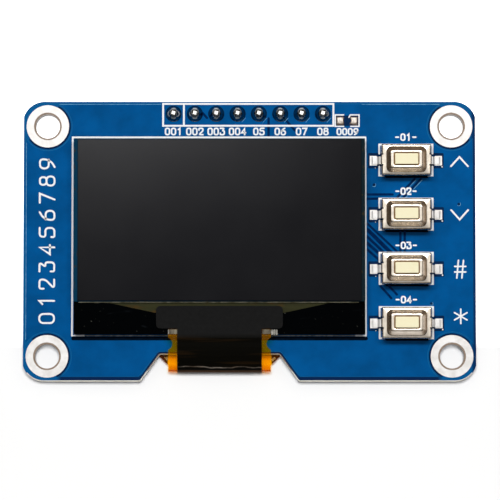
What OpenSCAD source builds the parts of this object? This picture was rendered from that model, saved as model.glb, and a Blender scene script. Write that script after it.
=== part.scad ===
// Small OLED display module with four keys and an eight-way pin header.
// The display panel lies on a foam pad on the board. Its flex tail passes through a notch in the
// board's lower edge and is soldered on the back.
// Origin: centre of the four mounting holes, on the board's underside.
// +X to the right, +Y to the header's edge, +Z out of the display. Millimetres.

/* [Board] */
// Width of the board to the left of the panel
margin_left = 6.05; // [5.6:0.05:8]
// Width of the board to the right of the panel, for the keys
margin_right = 13.15; // [13:0.05:15]
// Height of the board above the panel, for the header
margin_top = 4.55; // [4.2:0.05:6]
// Distance between the panel and the notch
margin_notch = 2.3; // [2.2:0.05:2.8]
// Board thickness
board_t = 1.6; // [1:0.1:2.4]
// Radius of the routed corners
corner_r = 2.6; // [1.5:0.1:2.9]
// Depth by which the short sides are trimmed inside the routed outline
side_trim = 0.12; // [0:0.02:0.3]
// Thickness of copper pads and tinned rings
foil_t = 0.04; // [0.03:0.01:0.08]

/* [Mounting holes] */
// Distance of the hole centres from the short sides
hole_inset_x = 2.85; // [2.7:0.05:3.2]
// Distance of the hole centres from the long sides
hole_inset_y = 2.95; // [2.7:0.05:3.2]
// Hole diameter
hole_d = 2.9; // [2.4:0.1:3.2]
// Bare margin between hole and ring
ring_gap = 0.2; // [0.1:0.05:0.3]
// Outer diameter of the tinned rings
ring_d = 5.05; // [4.6:0.05:5.2]

/* [Notch] */
// Clearance between the tail and the notch at each side
notch_clear = 1.025; // [0.6:0.025:1.4]
// Run of each of the notch's sloping sides
notch_flare = 2.3; // [1:0.1:3]
// Notch depth from the board's edge
notch_depth = 3.2; // [2.6:0.1:3.6]
// Rounding of the notch's corners
notch_r = 0.35; // [0.1:0.05:0.6]

/* [Display panel] */
// Panel width
panel_w = 34.5; // [32:0.1:40]
// Panel height with its ledge
panel_h = 23.25; // [22:0.05:26]
// Height of the ledge that the front glass leaves bare
ledge_h = 3.85; // [3.4:0.05:4.2]
// Thickness of each glass
glass_t = 0.5; // [0.4:0.05:0.7]
// Polariser thickness
polariser_t = 0.2; // [0.1:0.05:0.3]
// Polariser's margin inside the front glass at the sides
polariser_side = 0.45; // [0.2:0.05:0.8]
// Polariser's margin at the top and bottom
polariser_end = 0.12; // [0.1:0.02:0.3]
// Thickness of the foam pad under the panel
foam_t = 0.5; // [0.3:0.05:1]
// Foam pad's margin inside the panel's outline
foam_margin = 0.9; // [0.5:0.1:2]

/* [Driver chip] */
// Chip length
chip_w = 11.4; // [8:0.1:12]
// Chip width
chip_h = 1; // [0.8:0.1:1.1]
// Chip thickness
chip_t = 0.2; // [0.16:0.02:0.3]
// Gap between the front glass and the chip
chip_gap = 0.95; // [0.8:0.05:1]

/* [Flex tail] */
// Width of the tail
tail_w = 12.15; // [11.6:0.05:12.4]
// Thickness of the tail
tail_t = 0.12; // [0.08:0.01:0.14]
// Gap between the chip and the tail's end on the ledge
bond_gap = 0.55; // [0.3:0.05:0.7]
// Reach of the fold past the notch's inner end
tail_reach = 2.1; // [1.8:0.05:2.6]
// Length of the tail that stays flat past the panel's edge
tail_flat = 0.4; // [0.2:0.05:0.6]
// Slope of the tail before it folds
tail_slope = 20; // [10:1:30]
// Radius of the waist's scallops
scallop_r = 0.76; // [0.5:0.02:0.9]
// Depth of the scallops
scallop_depth = 0.5; // [0.2:0.02:0.6]
// Distance of the scallops from the panel's edge
scallop_y = 1.1; // [1:0.05:1.4]
// Distance before the fold's centre at which the tail starts to widen
flare_lead = 0.35; // [0.1:0.05:0.5]
// Width of the tail's foot past its outer contacts
foot_side = 0.825; // [0.4:0.025:1.2]
// Length of the tail's full-width foot
foot_l = 2.6; // [2:0.1:3.5]
// Number of contacts
contact_n = 30; // [24:1:32]
// Pitch of the contacts
contact_pitch = 0.65; // [0.5:0.01:0.66]
// Width of one contact's solder joint
contact_w = 0.34; // [0.2:0.02:0.4]
// Length of one contact's solder joint
contact_l = 0.6; // [0.4:0.05:1]

/* [Black tape] */
// Width of the tape's head past the tail at each side
tape_side = 1.42; // [1:0.02:2]
// Length of the tape's head over the tail
tape_lap = 0.67; // [0.4:0.01:0.9]
// Distance of the tape from the front glass
tape_gap = 0.5; // [0.3:0.05:0.6]
// Bare margin of the tail beside the tape
tape_inset = 1.075; // [0.8:0.025:1.5]
// Tape thickness
tape_t = 0.08; // [0.06:0.01:0.12]
// Corner radius of the tape
tape_r = 0.5; // [0.2:0.05:0.6]
// Clearance of the tape round the chip and the tail's end
tape_clear = 0.08; // [0.04:0.02:0.12]
// Length of the tape past the fold, on the back
tape_tail_l = 0.7; // [0.2:0.1:1]

/* [Header] */
// Number of pins
pin_n = 8; // [6:1:8]
// Pin pitch
pin_pitch = 2.54; // [2.5:0.02:2.6]
// Distance of the pin row's centre from the board's, along X
header_x = -0.15; // [-0.6:0.05:0.6]
// Distance of the pin row from the board's edge
header_edge = 1.45; // [1.35:0.05:1.6]
// Side of the square pins
pin_a = 0.64; // [0.5:0.02:0.7]
// Pin length in front of the board
pin_front = 1.25; // [1:0.05:1.6]
// Pin length behind the plastic strip
pin_back = 6; // [4:0.5:10]
// Length of the pins' tapered ends
pin_taper = 0.35; // [0.2:0.05:0.5]
// Width of the pins' ends as a share of the pin
pin_tip = 0.5; // [0.3:0.05:0.8]
// Depth of the plastic strip
strip_d = 2.5; // [2.3:0.1:2.6]
// Height of the plastic strip
strip_h = 2.54; // [2:0.02:3]
// Corner chamfer between the strip's cells
strip_chamfer = 0.45; // [0.2:0.05:0.6]
// Diameter of the pin holes in the board
pin_hole_d = 1; // [0.95:0.05:1.1]
// Diameter of a solder joint
solder_d = 1.86; // [1.6:0.02:2]
// Height of a solder joint
solder_h = 1.05; // [0.8:0.05:1.2]
// Radius of a solder joint at its top
solder_tip_r = 0.4; // [0.36:0.01:0.5]

/* [Jumper] */
// Distance of the jumper's centre from the last pin along X
jumper_out = 2.9; // [2.7:0.05:3.4]
// Distance of the jumper's centre from the pin row along Y
jumper_down = 0.83; // [0.4:0.01:1]
// Distance between the centres of its pads
jumper_pitch = 1.61; // [1.4:0.05:1.8]
// Pad width
jumper_w = 0.96; // [0.7:0.02:1.1]
// Pad height
jumper_h = 1.08; // [0.8:0.02:1.2]
// Corner radius of a pad
jumper_r = 0.15; // [0.05:0.05:0.3]
// Thickness of the solder on a pad
jumper_t = 0.14; // [0.1:0.02:0.2]

/* [Key switches] */
// Distance of the keys' centres from the board's edge
key_inset_x = 8.25; // [7.8:0.05:8.3]
// Distance of the outer keys from the mounting holes along Y
key_inset_y = 4.01; // [3.8:0.01:4.3]
// Shift of the key row towards the tail
key_shift_y = 0.1; // [0:0.01:0.2]
// Length of the metal cover
key_l = 5.85; // [5.6:0.05:6]
// Width of the metal cover
key_w = 3.7; // [3.3:0.05:3.8]
// Height of the cover's flat top
key_h = 1.75; // [1.6:0.05:2]
// Sheet thickness of the cover
key_sheet = 0.15; // [0.1:0.01:0.18]
// Bend radius of the cover's edges
key_bend_r = 0.2; // [0.2:0.02:0.35]
// Height of the cover's lower edge above the board
key_skirt_z = 0.35; // [0.2:0.05:0.6]
// Margin of the raised panel at the cover's ends
key_shelf_x = 0.575; // [0.4:0.025:0.6]
// Margin of the raised panel at the cover's sides
key_shelf_y = 0.325; // [0.2:0.025:0.4]
// Height of the raised panel
key_boss_h = 0.5; // [0.45:0.05:0.7]
// Run of the raised panel's sloping sides
key_boss_run = 0.5; // [0.4:0.05:0.55]
// Corner radius of the raised panel at its foot
key_boss_r = 0.6; // [0.4:0.05:0.7]
// Rounding of the raised panel's upper edges
key_boss_edge = 0.1; // [0.04:0.02:0.14]
// Width of the cover's middle tongue at each end
key_tongue_w = 1.1; // [1.1:0.05:1.4]
// Reach of the tongue past the cover's end
key_tongue_out = 0.1; // [0.1:0.02:0.3]
// Slots between the tongue and the end tabs
key_slot = 0.2; // [0.1:0.02:0.3]
// Corner radius of the window over the plunger
key_window_r = 0.2; // [0.1:0.02:0.3]
// Clearance of the cover's tongue over a terminal
key_lead_gap = 0.15; // [0.1:0.01:0.2]
// Clearance between cover and plastic body
key_fit = 0.05; // [0.03:0.01:0.08]
// Width of a terminal
lead_w = 0.9; // [0.8:0.05:1.05]
// Thickness of a terminal
lead_t = 0.12; // [0.1:0.01:0.15]
// Reach of a terminal past the cover's end
lead_out = 1; // [1:0.05:1.3]
// Length of a terminal's soldered foot
lead_foot = 0.5; // [0.4:0.05:0.7]
// Run of a terminal's slope between its foot and the body
lead_run = 0.25; // [0.15:0.05:0.3]
// Height of a terminal where it leaves the body
lead_z = 0.43; // [0.4:0.01:0.5]
// Depth of the centre contact below the dome's rim
lead_drop = 0.24; // [0.2:0.01:0.28]
// Thickness of the riser between the centre contact and its terminal
lead_riser = 0.3; // [0.2:0.05:0.35]
// Length of the solder fillet at a terminal's end
key_fillet = 0.25; // [0.2:0.05:0.45]
// Margin of a pad round its terminal
key_pad_margin = 0.12; // [0.05:0.01:0.15]

/* [Plunger and dome] */
// Length of the plunger's top
plunger_l = 2.75; // [2.6:0.05:2.9]
// Width of the plunger's top
plunger_w = 1.3; // [1.2:0.02:1.45]
// Corner radius of the plunger
plunger_r = 0.15; // [0.08:0.01:0.2]
// Rounding of the plunger's upper edges
plunger_edge = 0.08; // [0.04:0.02:0.12]
// Height of the plunger above the raised panel
plunger_out = 0.3; // [0.28:0.01:0.4]
// Gap between plunger and window
plunger_gap = 0.12; // [0.05:0.01:0.14]
// Width of the plunger's hidden collar
collar = 0.2; // [0.14:0.01:0.2]
// Clearance round the collar in the body's pocket
collar_side = 0.09; // [0.05:0.01:0.12]
// Thickness of the collar
collar_t = 0.26; // [0.2:0.01:0.28]
// Clearance above the collar and under the plunger
collar_gap = 0.03; // [0.02:0.01:0.05]
// Length of the stem that meets the dome
stem_l = 1.4; // [1:0.05:1.6]
// Width of the stem
stem_w = 0.9; // [0.7:0.05:1]
// Wall of the plastic body beside its pocket
pocket_wall = 0.325; // [0.25:0.025:0.5]
// Rise of the dome
dome_rise = 0.34; // [0.32:0.01:0.4]
// Sheet thickness of the dome
dome_t = 0.07; // [0.05:0.01:0.08]
// Clearance round the dome in its pocket
dome_gap = 0.15; // [0.1:0.01:0.18]
// Length of the dome's rim that lies on its terminal
dome_seat = 0.35; // [0.2:0.05:0.5]
// Width of the plastic ledge under the dome's rim
dome_ledge = 0.2; // [0.15:0.01:0.3]

/* [Parts on the back] */
// Length of a chip part
chip_part_l = 1.6; // [1.5:0.05:1.7]
// Width of a chip part
chip_part_w = 0.8; // [0.7:0.05:0.9]
// Height of a capacitor
cap_h = 0.8; // [0.6:0.05:1]
// Height of a resistor
res_h = 0.45; // [0.35:0.05:0.6]
// Length of the metal end of a chip part
end_l = 0.32; // [0.2:0.02:0.4]
// Thickness by which the metal ends stand proud
end_t = 0.03; // [0.02:0.01:0.05]
// Distance between chip parts
chip_part_pitch = 2.5; // [2.3:0.1:2.6]
// Reach of a pad past a chip part's end
pad_out = 0.2; // [0.1:0.02:0.24]
// Margin of a pad at its sides
pad_side = 0.05; // [0.02:0.01:0.1]
// Distance of the capacitors' row from the contact row
cap_up = 4.7; // [3:0.1:8]
// Distance of the first resistor from the keys' centre line
res_left = 6.65; // [6:0.05:8]
// Distance of the resistors' row from the pin row
res_down = 5.6; // [4:0.1:8]
// Regulator body length
reg_l = 2.9; // [2.8:0.05:3]
// Regulator body width
reg_w = 1.3; // [1.2:0.05:1.4]
// Regulator body height
reg_h = 1; // [0.9:0.05:1.1]
// Span over the regulator's legs
reg_span = 2.4; // [2.2:0.05:2.6]
// Pitch of the regulator's paired legs
reg_pitch = 1.9; // [1.8:0.05:2]
// Width of a regulator leg
reg_leg_w = 0.4; // [0.3:0.05:0.5]
// Thickness of a regulator leg
reg_leg_t = 0.12; // [0.1:0.01:0.16]
// Length of a regulator leg's soldered foot
reg_foot = 0.25; // [0.2:0.01:0.3]
// Draft of the regulator body's sides
reg_draft = 0.08; // [0.02:0.02:0.12]
// Gap between the regulator body and its pads
reg_lift = 0.08; // [0.04:0.02:0.12]
// Distance of the regulator from the keys' centre line
reg_left = 1.15; // [0:0.05:3]
// Distance of the regulator from the pin row
reg_down = 12.2; // [9:0.1:14]

/* [Hidden] */

// Counts that NODES spells out
key_n = 4;
cap_n = 5;
res_n = 4;

$fn = 48;
eps = 0.01;
over = 1;                 // overrun of cutting solids

// Board: its size follows from the panel and the margins round it
board_w = margin_left + panel_w + margin_right;
board_h = margin_top + panel_h + margin_notch + notch_depth;
board_top = board_t;
hole_span_x = board_w - 2 * hole_inset_x;
hole_span_y = board_h - 2 * hole_inset_y;
notch_w = tail_w + 2 * notch_clear;
notch_mouth_w = notch_w + 2 * notch_flare;
notch_y = -board_h / 2 + notch_depth;

// Panel stack, from the board up; the notch and the tail lie on the panel's centre line
panel_x = -board_w / 2 + margin_left + panel_w / 2;
panel_top_y = board_h / 2 - margin_top;
front_h = panel_h - ledge_h;
glass_z = board_top + foam_t;
ledge_z = glass_z + glass_t;
front_z = ledge_z + glass_t;
panel_bottom_y = panel_top_y - panel_h;
front_bottom_y = panel_top_y - front_h;

chip_y = front_bottom_y - chip_gap - chip_h / 2;

// Tail: a flat run, a wide arc of tail_slope degrees, a tight arc to 180 degrees, a flat run back
tail_z = ledge_z + tail_t / 2;
foot_z = -foil_t - tail_t / 2;
tail_start_y = chip_y - chip_h / 2 - bond_gap;
fold_start_y = panel_bottom_y - tail_flat;
tail_end_y = notch_y - tail_reach;
fold_k = tan(tail_slope / 2);
fold_run = fold_start_y - tail_end_y - tail_t / 2;
fold_r = (tail_z - foot_z - fold_k * fold_run) / (2 - fold_k);
slope_r = fold_r + (fold_run - fold_r) / sin(tail_slope);
slope_centre = [fold_start_y, tail_z - slope_r];
fold_centre = slope_centre + (slope_r - fold_r) * [-sin(tail_slope), cos(tail_slope)];
flare_y = fold_centre[0] - flare_lead;
foot_w = (contact_n - 1) * contact_pitch + 2 * foot_side;
foot_y = flare_y + (foot_w - tail_w) / 2;              // flare at 45 degrees
foot_end_y = foot_y + foot_l;

// Tape
tape_z = ledge_z + chip_t;
tape_top_y = front_bottom_y - tape_gap;
tape_head_y = tail_start_y - tape_lap;
tape_head_w = tail_w + 2 * tape_side;
tape_w = tail_w - 2 * tape_inset;

// Header
header_y = board_h / 2 - header_edge;
pin_xs = [for (i = [0:pin_n - 1]) header_x + (i - (pin_n - 1) / 2) * pin_pitch];
jumper_x = pin_xs[pin_n - 1] + jumper_out;
jumper_y = header_y - jumper_down;

// Keys
key_x = board_w / 2 - key_inset_x;
key_pitch = (hole_span_y - 2 * key_inset_y) / (key_n - 1);
key_ys = [for (i = [0:key_n - 1]) ((key_n - 1) / 2 - i) * key_pitch - key_shift_y];
key_boss_l = key_l - 2 * key_shelf_x;
key_boss_w = key_w - 2 * key_shelf_y;
lead_reach = key_l / 2 + lead_out;
key_window_l = plunger_l + 2 * plunger_gap;
key_window_w = plunger_w + 2 * plunger_gap;
key_rim_z = key_h + key_boss_h;
key_seam = 0.02;                                       // merge of the raised panel below the sheet
body_l = key_l - 2 * (key_sheet + key_fit);
body_w = key_w - 2 * (key_sheet + key_fit);
body_h = key_h - key_sheet;
pocket_l = plunger_l + 2 * (collar + collar_side);
pocket_w = body_w - 2 * pocket_wall;
dome_d = pocket_l - 2 * dome_gap;                      // diameter of the dome's rim
dome_w = pocket_w - 2 * dome_gap;                      // width to which the dome is trimmed
pocket_r = 0.6;
ledge_top = lead_z + lead_t;                           // ledge that carries the dome
collar_top = key_rim_z - key_sheet - collar_gap;
plunger_foot = ledge_top + dome_rise + dome_t + collar_gap;

// Parts on the back
cap_y = foot_end_y + cap_up;
res_x = key_x - res_left;
res_y = header_y - res_down;
reg_x = key_x - reg_left;
reg_y = header_y - reg_down;
cap_xs = [for (i = [0:cap_n - 1]) panel_x + (i - (cap_n - 1) / 2) * chip_part_pitch];
res_xs = [for (i = [0:res_n - 1]) res_x + i * chip_part_pitch];
reg_shoulder_z = reg_h * 0.45;

// ---------- helpers ----------

// Outline with a rounded corner of radius r at each of its points [x, y, r]
function unit(v) = v / norm(v);
function corner_arc(a, b, c, r, n = 6) =
    r <= 0 ? [b] :
    let (u = unit(a - b), v = unit(c - b), half = acos(u * v) / 2,
         centre = b + unit(u + v) * r / sin(half),
         p = b + u * r / tan(half) - centre, q = b + v * r / tan(half) - centre,
         from = atan2(p[1], p[0]), turn = atan2(q[1], q[0]) - from,
         sweep = turn > 180 ? turn - 360 : turn < -180 ? turn + 360 : turn)
    [for (i = [0:n]) centre + r * [cos(from + sweep * i / n), sin(from + sweep * i / n)]];
function rounded(pts) =
    let (n = len(pts), flat = [for (p = pts) [p[0], p[1]]])
    [for (i = [0:n - 1]) each corner_arc(flat[(i + n - 1) % n], flat[i], flat[(i + 1) % n], pts[i][2])];

// Rectangle with true round corners, centred
module round_rect(w, h, r) {
    square([w - 2 * r, h], center = true);
    square([w, h - 2 * r], center = true);
    for (sx = [-1, 1], sy = [-1, 1])
        translate([sx * (w / 2 - r), sy * (h / 2 - r)]) circle(r);
}

// Rectangle on the X axis whose two upper corners are round
module arch(w, h, r) {
    translate([-w / 2, 0]) square([w, h - r]);
    translate([-w / 2 + r, 0]) square([w - 2 * r, h]);
    for (s = [-1, 1]) translate([s * (w / 2 - r), h - r]) circle(r);
}

// Extrudes a profile of the YZ plane along X, centred
module along_x(w) { rotate([90, 0, 90]) linear_extrude(w, center = true) children(); }

// Extrudes a profile of the XZ plane along Y, centred
module along_y(w) { rotate([90, 0, 0]) linear_extrude(w, center = true) children(); }

// Box given by its centre in X and Y, its base and its size
module block(x, y, z, size) { translate([x - size[0] / 2, y - size[1] / 2, z]) cube(size); }

module at_holes() {
    for (sx = [-1, 1], sy = [-1, 1]) translate([sx * hole_span_x / 2, sy * hole_span_y / 2]) children();
}

// ---------- board ----------

module board_outline() {
    intersection() {
        square([board_w, board_h], center = true);
        round_rect(board_w + 2 * side_trim, board_h, corner_r);
    }
}

module notch_outline() {
    mouth = notch_mouth_w / 2;
    inner = notch_w / 2;
    edge = -board_h / 2;
    translate([panel_x, 0]) polygon(rounded([
        [-inner, notch_y, notch_r], [-mouth, edge, notch_r], [-mouth - 2 * over, edge, 0],
        [-mouth - 2 * over, edge - over, 0], [mouth + 2 * over, edge - over, 0],
        [mouth + 2 * over, edge, 0], [mouth, edge, notch_r], [inner, notch_y, notch_r],
    ]));
}

module pcb() {
    color([0, 0.32, 0.56]) difference() {
        linear_extrude(board_t) difference() {
            board_outline();
            notch_outline();
        }
        at_holes() translate([0, 0, -over]) cylinder(d = hole_d, h = board_t + 2 * over);
        for (x = pin_xs) translate([x, header_y, -over]) cylinder(d = pin_hole_d, h = board_t + 2 * over);
    }
}

module mounting_rings() {
    color([0.9, 0.89, 0.87]) for (z = [-foil_t, board_top]) at_holes() translate([0, 0, z]) difference() {
        cylinder(d = ring_d, h = foil_t);
        translate([0, 0, -over]) cylinder(d = hole_d + 2 * ring_gap, h = foil_t + 2 * over);
    }
}

// ---------- display panel ----------

module panel_plate(z, t, h, side = 0, end = 0) {
    translate([panel_x - panel_w / 2 + side, panel_top_y - h + end, z])
        cube([panel_w - 2 * side, h - 2 * end, t]);
}

module foam_pad() {
    color([0.08, 0.08, 0.09]) panel_plate(board_top, foam_t, panel_h, foam_margin, foam_margin);
}

module back_glass() { color([0.03, 0.04, 0.04]) panel_plate(glass_z, glass_t, panel_h); }

module front_glass() { color([0.1, 0.14, 0.15]) panel_plate(ledge_z, glass_t, front_h); }

module polariser() {
    color([0.13, 0.13, 0.14]) panel_plate(front_z, polariser_t, front_h, polariser_side, polariser_end);
}

module driver_chip() {
    color([0.35, 0.36, 0.38]) block(panel_x, chip_y, ledge_z, [chip_w, chip_h, chip_t]);
}

// ---------- flex tail ----------

// Arc in the YZ plane, without its first point
function fold_arc(centre, r, from, to, n) =
    [for (i = [1:n]) let (a = from + (to - from) * i / n) centre + r * [-sin(a), cos(a)]];

// The tail's course in the YZ plane at a height of off outside its middle, up to the end of the fold
function fold_line(off, z0) = concat(
    [[fold_start_y, z0]],
    fold_arc(slope_centre, slope_r + off, 0, tail_slope, 6),
    fold_arc(fold_centre, fold_r + off, tail_slope, 180, 16));

function flip(list) = [for (i = [len(list) - 1:-1:0]) list[i]];

// Closed band between two offsets of the course, from y_start on top to y_end below
function fold_band(inner, outer, y_start, y_end, z_in, z_out) = concat(
    [[y_start, z_out]], fold_line(outer, z_out), [[y_end, foot_z - outer]],
    [[y_end, foot_z - inner]], flip(fold_line(inner, z_in)), [[y_start, z_in]]);

// Plan of the tail's lower run: the tail's width up to the flare, then out to the contact row
module foot_plan() {
    half = tail_w / 2;
    wide = foot_w / 2;
    low = tail_end_y - over;
    polygon([[-half, low], [half, low], [half, flare_y], [wide, foot_y], [wide, foot_end_y + over],
             [-wide, foot_end_y + over], [-wide, foot_y], [-half, flare_y]]);
}

module flex_tail() {
    t = tail_t / 2;
    color([0.85, 0.5, 0.05]) translate([panel_x, 0, 0]) difference() {
        intersection() {
            along_x(foot_w) polygon(fold_band(-t, t, tail_start_y, foot_end_y, tail_z - t, tail_z + t));
            union() {
                translate([-tail_w / 2, tail_end_y - over, fold_centre[1]])
                    cube([tail_w, foot_end_y - tail_end_y + 2 * over, 2 * tail_z]);
                translate([0, 0, foot_z - over]) linear_extrude(fold_centre[1] - foot_z + over) foot_plan();
            }
        }
        for (s = [-1, 1])
            translate([s * (tail_w / 2 + scallop_r - scallop_depth), panel_bottom_y - scallop_y, board_top])
                cylinder(r = scallop_r, h = 2 * tail_z);
    }
}

// A T in plan: the head lies over the chip and meets the glass round it, the leg follows the tail
module flex_tape() {
    t = tail_t / 2;
    half = tape_head_w / 2;
    leg = tape_w / 2;
    color([0.1, 0.1, 0.11]) translate([panel_x, 0, 0]) {
        difference() {
            translate([0, 0, ledge_z]) linear_extrude(chip_t + tape_t) polygon(rounded([
                [-half, tape_top_y, tape_r], [half, tape_top_y, tape_r], [half, tape_head_y, tape_r],
                [leg, tape_head_y, 0], [-leg, tape_head_y, 0], [-half, tape_head_y, tape_r],
            ]));
            block(0, chip_y, ledge_z - over,
                  [chip_w + 2 * tape_clear, chip_h + 2 * tape_clear, chip_t + over]);
            translate([-tail_w / 2 - tape_clear, tape_head_y - over, ledge_z - over])
                cube([tail_w + 2 * tape_clear, tail_start_y + tape_clear - tape_head_y + over,
                      chip_t + over]);
        }
        along_x(tape_w) polygon(fold_band(t, t + tape_t, tape_head_y, fold_centre[0] + tape_tail_l,
                                          tape_z, tape_z + tape_t));
    }
}

module flex_solder() {
    color([0.75, 0.75, 0.76]) for (i = [0:contact_n - 1])
        block(panel_x + (i - (contact_n - 1) / 2) * contact_pitch, foot_end_y + contact_l / 2,
              -foil_t - tail_t, [contact_w, contact_l, foil_t + tail_t]);
}

// ---------- header ----------

module header_strip() {
    c = strip_chamfer;
    a = pin_pitch / 2;
    b = strip_d / 2;
    color([0.07, 0.07, 0.07]) difference() {
        for (x = pin_xs) translate([x, header_y, -strip_h]) linear_extrude(strip_h)
            polygon([[-a, -b + c], [-a + c, -b], [a - c, -b], [a, -b + c],
                     [a, b - c], [a - c, b], [-a + c, b], [-a, b - c]]);
        for (x = pin_xs) block(x, header_y, -strip_h - over, [pin_a, pin_a, strip_h + 2 * over]);
    }
}

module pin_end() { linear_extrude(pin_taper, scale = pin_tip) square(pin_a, center = true); }

module header_pins() {
    low = -strip_h - pin_back;
    top = board_top + pin_front;
    color([0.8, 0.78, 0.72]) for (x = pin_xs) translate([x, header_y, 0]) {
        block(0, 0, low + pin_taper, [pin_a, pin_a, top - low - 2 * pin_taper]);
        translate([0, 0, top - pin_taper]) pin_end();
        translate([0, 0, low + pin_taper]) mirror([0, 0, 1]) pin_end();
    }
}

// Cone of solder round a pin, with a thin flare where it wets the pad and a soft shoulder at the pin
function bell(r, h, r_top) = [
    for (t = [0, 0.06, 0.15, 0.3, 0.5, 0.7, 0.86, 0.96, 1])
        [r + (r_top - r) * t, h * pow(t, 1.2) * (1 + 0.8 * t * (1 - t))]
];

module header_solder() {
    color([0.55, 0.56, 0.58]) for (x = pin_xs) translate([x, header_y, 0]) difference() {
        union() {
            translate([0, 0, board_top + foil_t]) rotate_extrude()
                polygon(concat([[0, 0]], bell(solder_d / 2, solder_h, solder_tip_r), [[0, solder_h]]));
            cylinder(d = pin_hole_d, h = board_top + foil_t + eps);
            translate([0, 0, board_top]) cylinder(d = solder_d, h = foil_t);
        }
        block(0, 0, -over, [pin_a, pin_a, board_top + pin_front + 2 * over]);
    }
}

module jumper_pads() {
    color([0.85, 0.84, 0.82]) for (s = [-1, 1])
        translate([jumper_x + s * jumper_pitch / 2, jumper_y, board_top])
            linear_extrude(jumper_t) round_rect(jumper_w, jumper_h, jumper_r);
}

// ---------- key switches ----------

module at_key(i) { translate([key_x, key_ys[i - 1], board_top]) children(); }

// Lid whose four upper edges are bent round: profile across and profile along, crossed
module bent_lid(l, w, h, r) {
    intersection() {
        along_x(l) arch(w, h, r);
        along_y(w) arch(l, h, r);
    }
}

// Cross-section of the raised panel, len long at its foot and t inside its outer face
module boss_profile(len, t) {
    slope = key_boss_run / key_boss_h;
    foot = -t - key_seam;
    half = len / 2 - t * norm([1, slope]);
    top = key_boss_h - t;
    polygon(rounded([
        [-half + foot * slope, foot, 0], [-half + top * slope, top, key_boss_edge],
        [half - top * slope, top, key_boss_edge], [half - foot * slope, foot, 0],
    ]));
}

// Raised panel with sloping sides, round shoulders and round corners, t inside its outer face
module boss(t) {
    translate([0, 0, key_h]) intersection() {
        along_x(key_boss_l + over) boss_profile(key_boss_w, t);
        along_y(key_boss_w + over) boss_profile(key_boss_l, t);
        translate([0, 0, -over]) linear_extrude(2 * over)
            round_rect(key_boss_l - 2 * t, key_boss_w - 2 * t, key_boss_r - t);
    }
}

module key_cover(i) {
    t = key_sheet;
    tongue_l = key_l + 2 * key_tongue_out;
    end_x = key_l / 2 - key_bend_r;
    slot_y = key_tongue_w / 2;
    color([0.84, 0.82, 0.79]) at_key(i) difference() {
        union() {
            bent_lid(key_l, key_w, key_h, key_bend_r);
            along_y(key_tongue_w) arch(tongue_l, key_h, key_bend_r);
            boss(0);
        }
        translate([0, 0, -over]) bent_lid(key_l - 2 * t, key_w - 2 * t, key_h - t + over, key_bend_r - t);
        translate([0, 0, -over])
            along_y(key_tongue_w + eps) arch(tongue_l - 2 * t, key_h - t + over, key_bend_r - t);
        boss(t);
        linear_extrude(key_rim_z + over) round_rect(key_window_l, key_window_w, key_window_r);
        block(0, 0, -over, [2 * key_l, 2 * key_w, key_skirt_z + over]);
        for (sx = [-1, 1]) {
            block(sx * (end_x + over / 2), 0, -over,
                  [over, key_tongue_w, foil_t + ledge_top + key_lead_gap + over]);
            for (sy = [-1, 1])
                block(sx * (end_x + over / 2), sy * (slot_y + key_slot / 2), -over,
                      [over, key_slot, key_h + 2 * over]);
        }
    }
}

// Gull-wing lead in the XZ plane: a foot on the board, a slope and a shoulder at z that runs in to x = inner
function wing_line(reach, foot, run, z, inner, dz) =
    [[reach, dz], [reach - foot, dz], [reach - foot - run, z + dz], [inner, z + dz]];
module wing(reach, foot, run, z, inner, w, t) {
    along_y(w) polygon(concat(wing_line(reach, foot, run, z, inner, 0),
                              flip(wing_line(reach, foot, run, z, inner, t))));
}

module key_lead(inner) {
    translate([0, 0, foil_t]) wing(lead_reach, lead_foot, lead_run, lead_z, inner, lead_w, lead_t);
}

// The left terminal carries the dome's rim, the right one dips to the centre contact
module key_contacts() {
    low = lead_z + foil_t - lead_drop;
    riser_x = pocket_l / 2 + lead_riser;
    mirror([1, 0, 0]) key_lead(dome_d / 2 - dome_seat);
    key_lead(riser_x - lead_riser / 2);
    block(riser_x, 0, low, [lead_riser, lead_w, lead_drop + lead_t]);
    block(riser_x / 2, 0, low, [riser_x, lead_w, lead_t]);
}

module key_terminals(i) { color([0.86, 0.85, 0.83]) at_key(i) key_contacts(); }

module key_body(i) {
    color([0.09, 0.09, 0.09]) at_key(i) difference() {
        translate([0, 0, foil_t]) bent_lid(body_l, body_w, body_h - foil_t, key_bend_r - key_sheet);
        translate([0, 0, ledge_top + foil_t]) linear_extrude(body_h) round_rect(pocket_l, pocket_w, pocket_r);
        translate([0, 0, ledge_top + foil_t - lead_drop]) cylinder(d = dome_w - 2 * dome_ledge, h = body_h);
        key_contacts();
    }
}

// Trimmed spherical cap
module key_dome(i) {
    r = (pow(dome_d / 2, 2) + pow(dome_rise, 2)) / (2 * dome_rise);
    rim = asin(dome_d / 2 / r);
    arc = [for (k = [0:10]) rim * k / 10];
    color([0.8, 0.8, 0.82]) at_key(i) translate([0, 0, ledge_top + foil_t + dome_rise - r])
        intersection() {
            rotate_extrude() polygon(concat([for (a = arc) (r + dome_t) * [sin(a), cos(a)]],
                                            [for (a = flip(arc)) r * [sin(a), cos(a)]]));
            translate([0, 0, r]) cube([2 * dome_d, dome_w, 2 * dome_d], center = true);
        }
}

// Top with rounded edges, a collar that the cover holds down and a stem that meets the dome
module key_plunger(i) {
    top = key_rim_z + plunger_out;
    foot = plunger_foot + foil_t;
    color([1, 0.94, 0.78]) at_key(i) {
        intersection() {
            translate([0, 0, collar_top - eps])
                bent_lid(plunger_l, plunger_w, top - collar_top + eps, plunger_edge);
            linear_extrude(top + over) round_rect(plunger_l, plunger_w, plunger_r);
        }
        translate([0, 0, collar_top - collar_t]) linear_extrude(collar_t)
            round_rect(plunger_l + 2 * collar, plunger_w + 2 * collar, plunger_r);
        translate([0, 0, foot]) linear_extrude(collar_top - foot) round_rect(stem_l, stem_w, plunger_r);
    }
}

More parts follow.
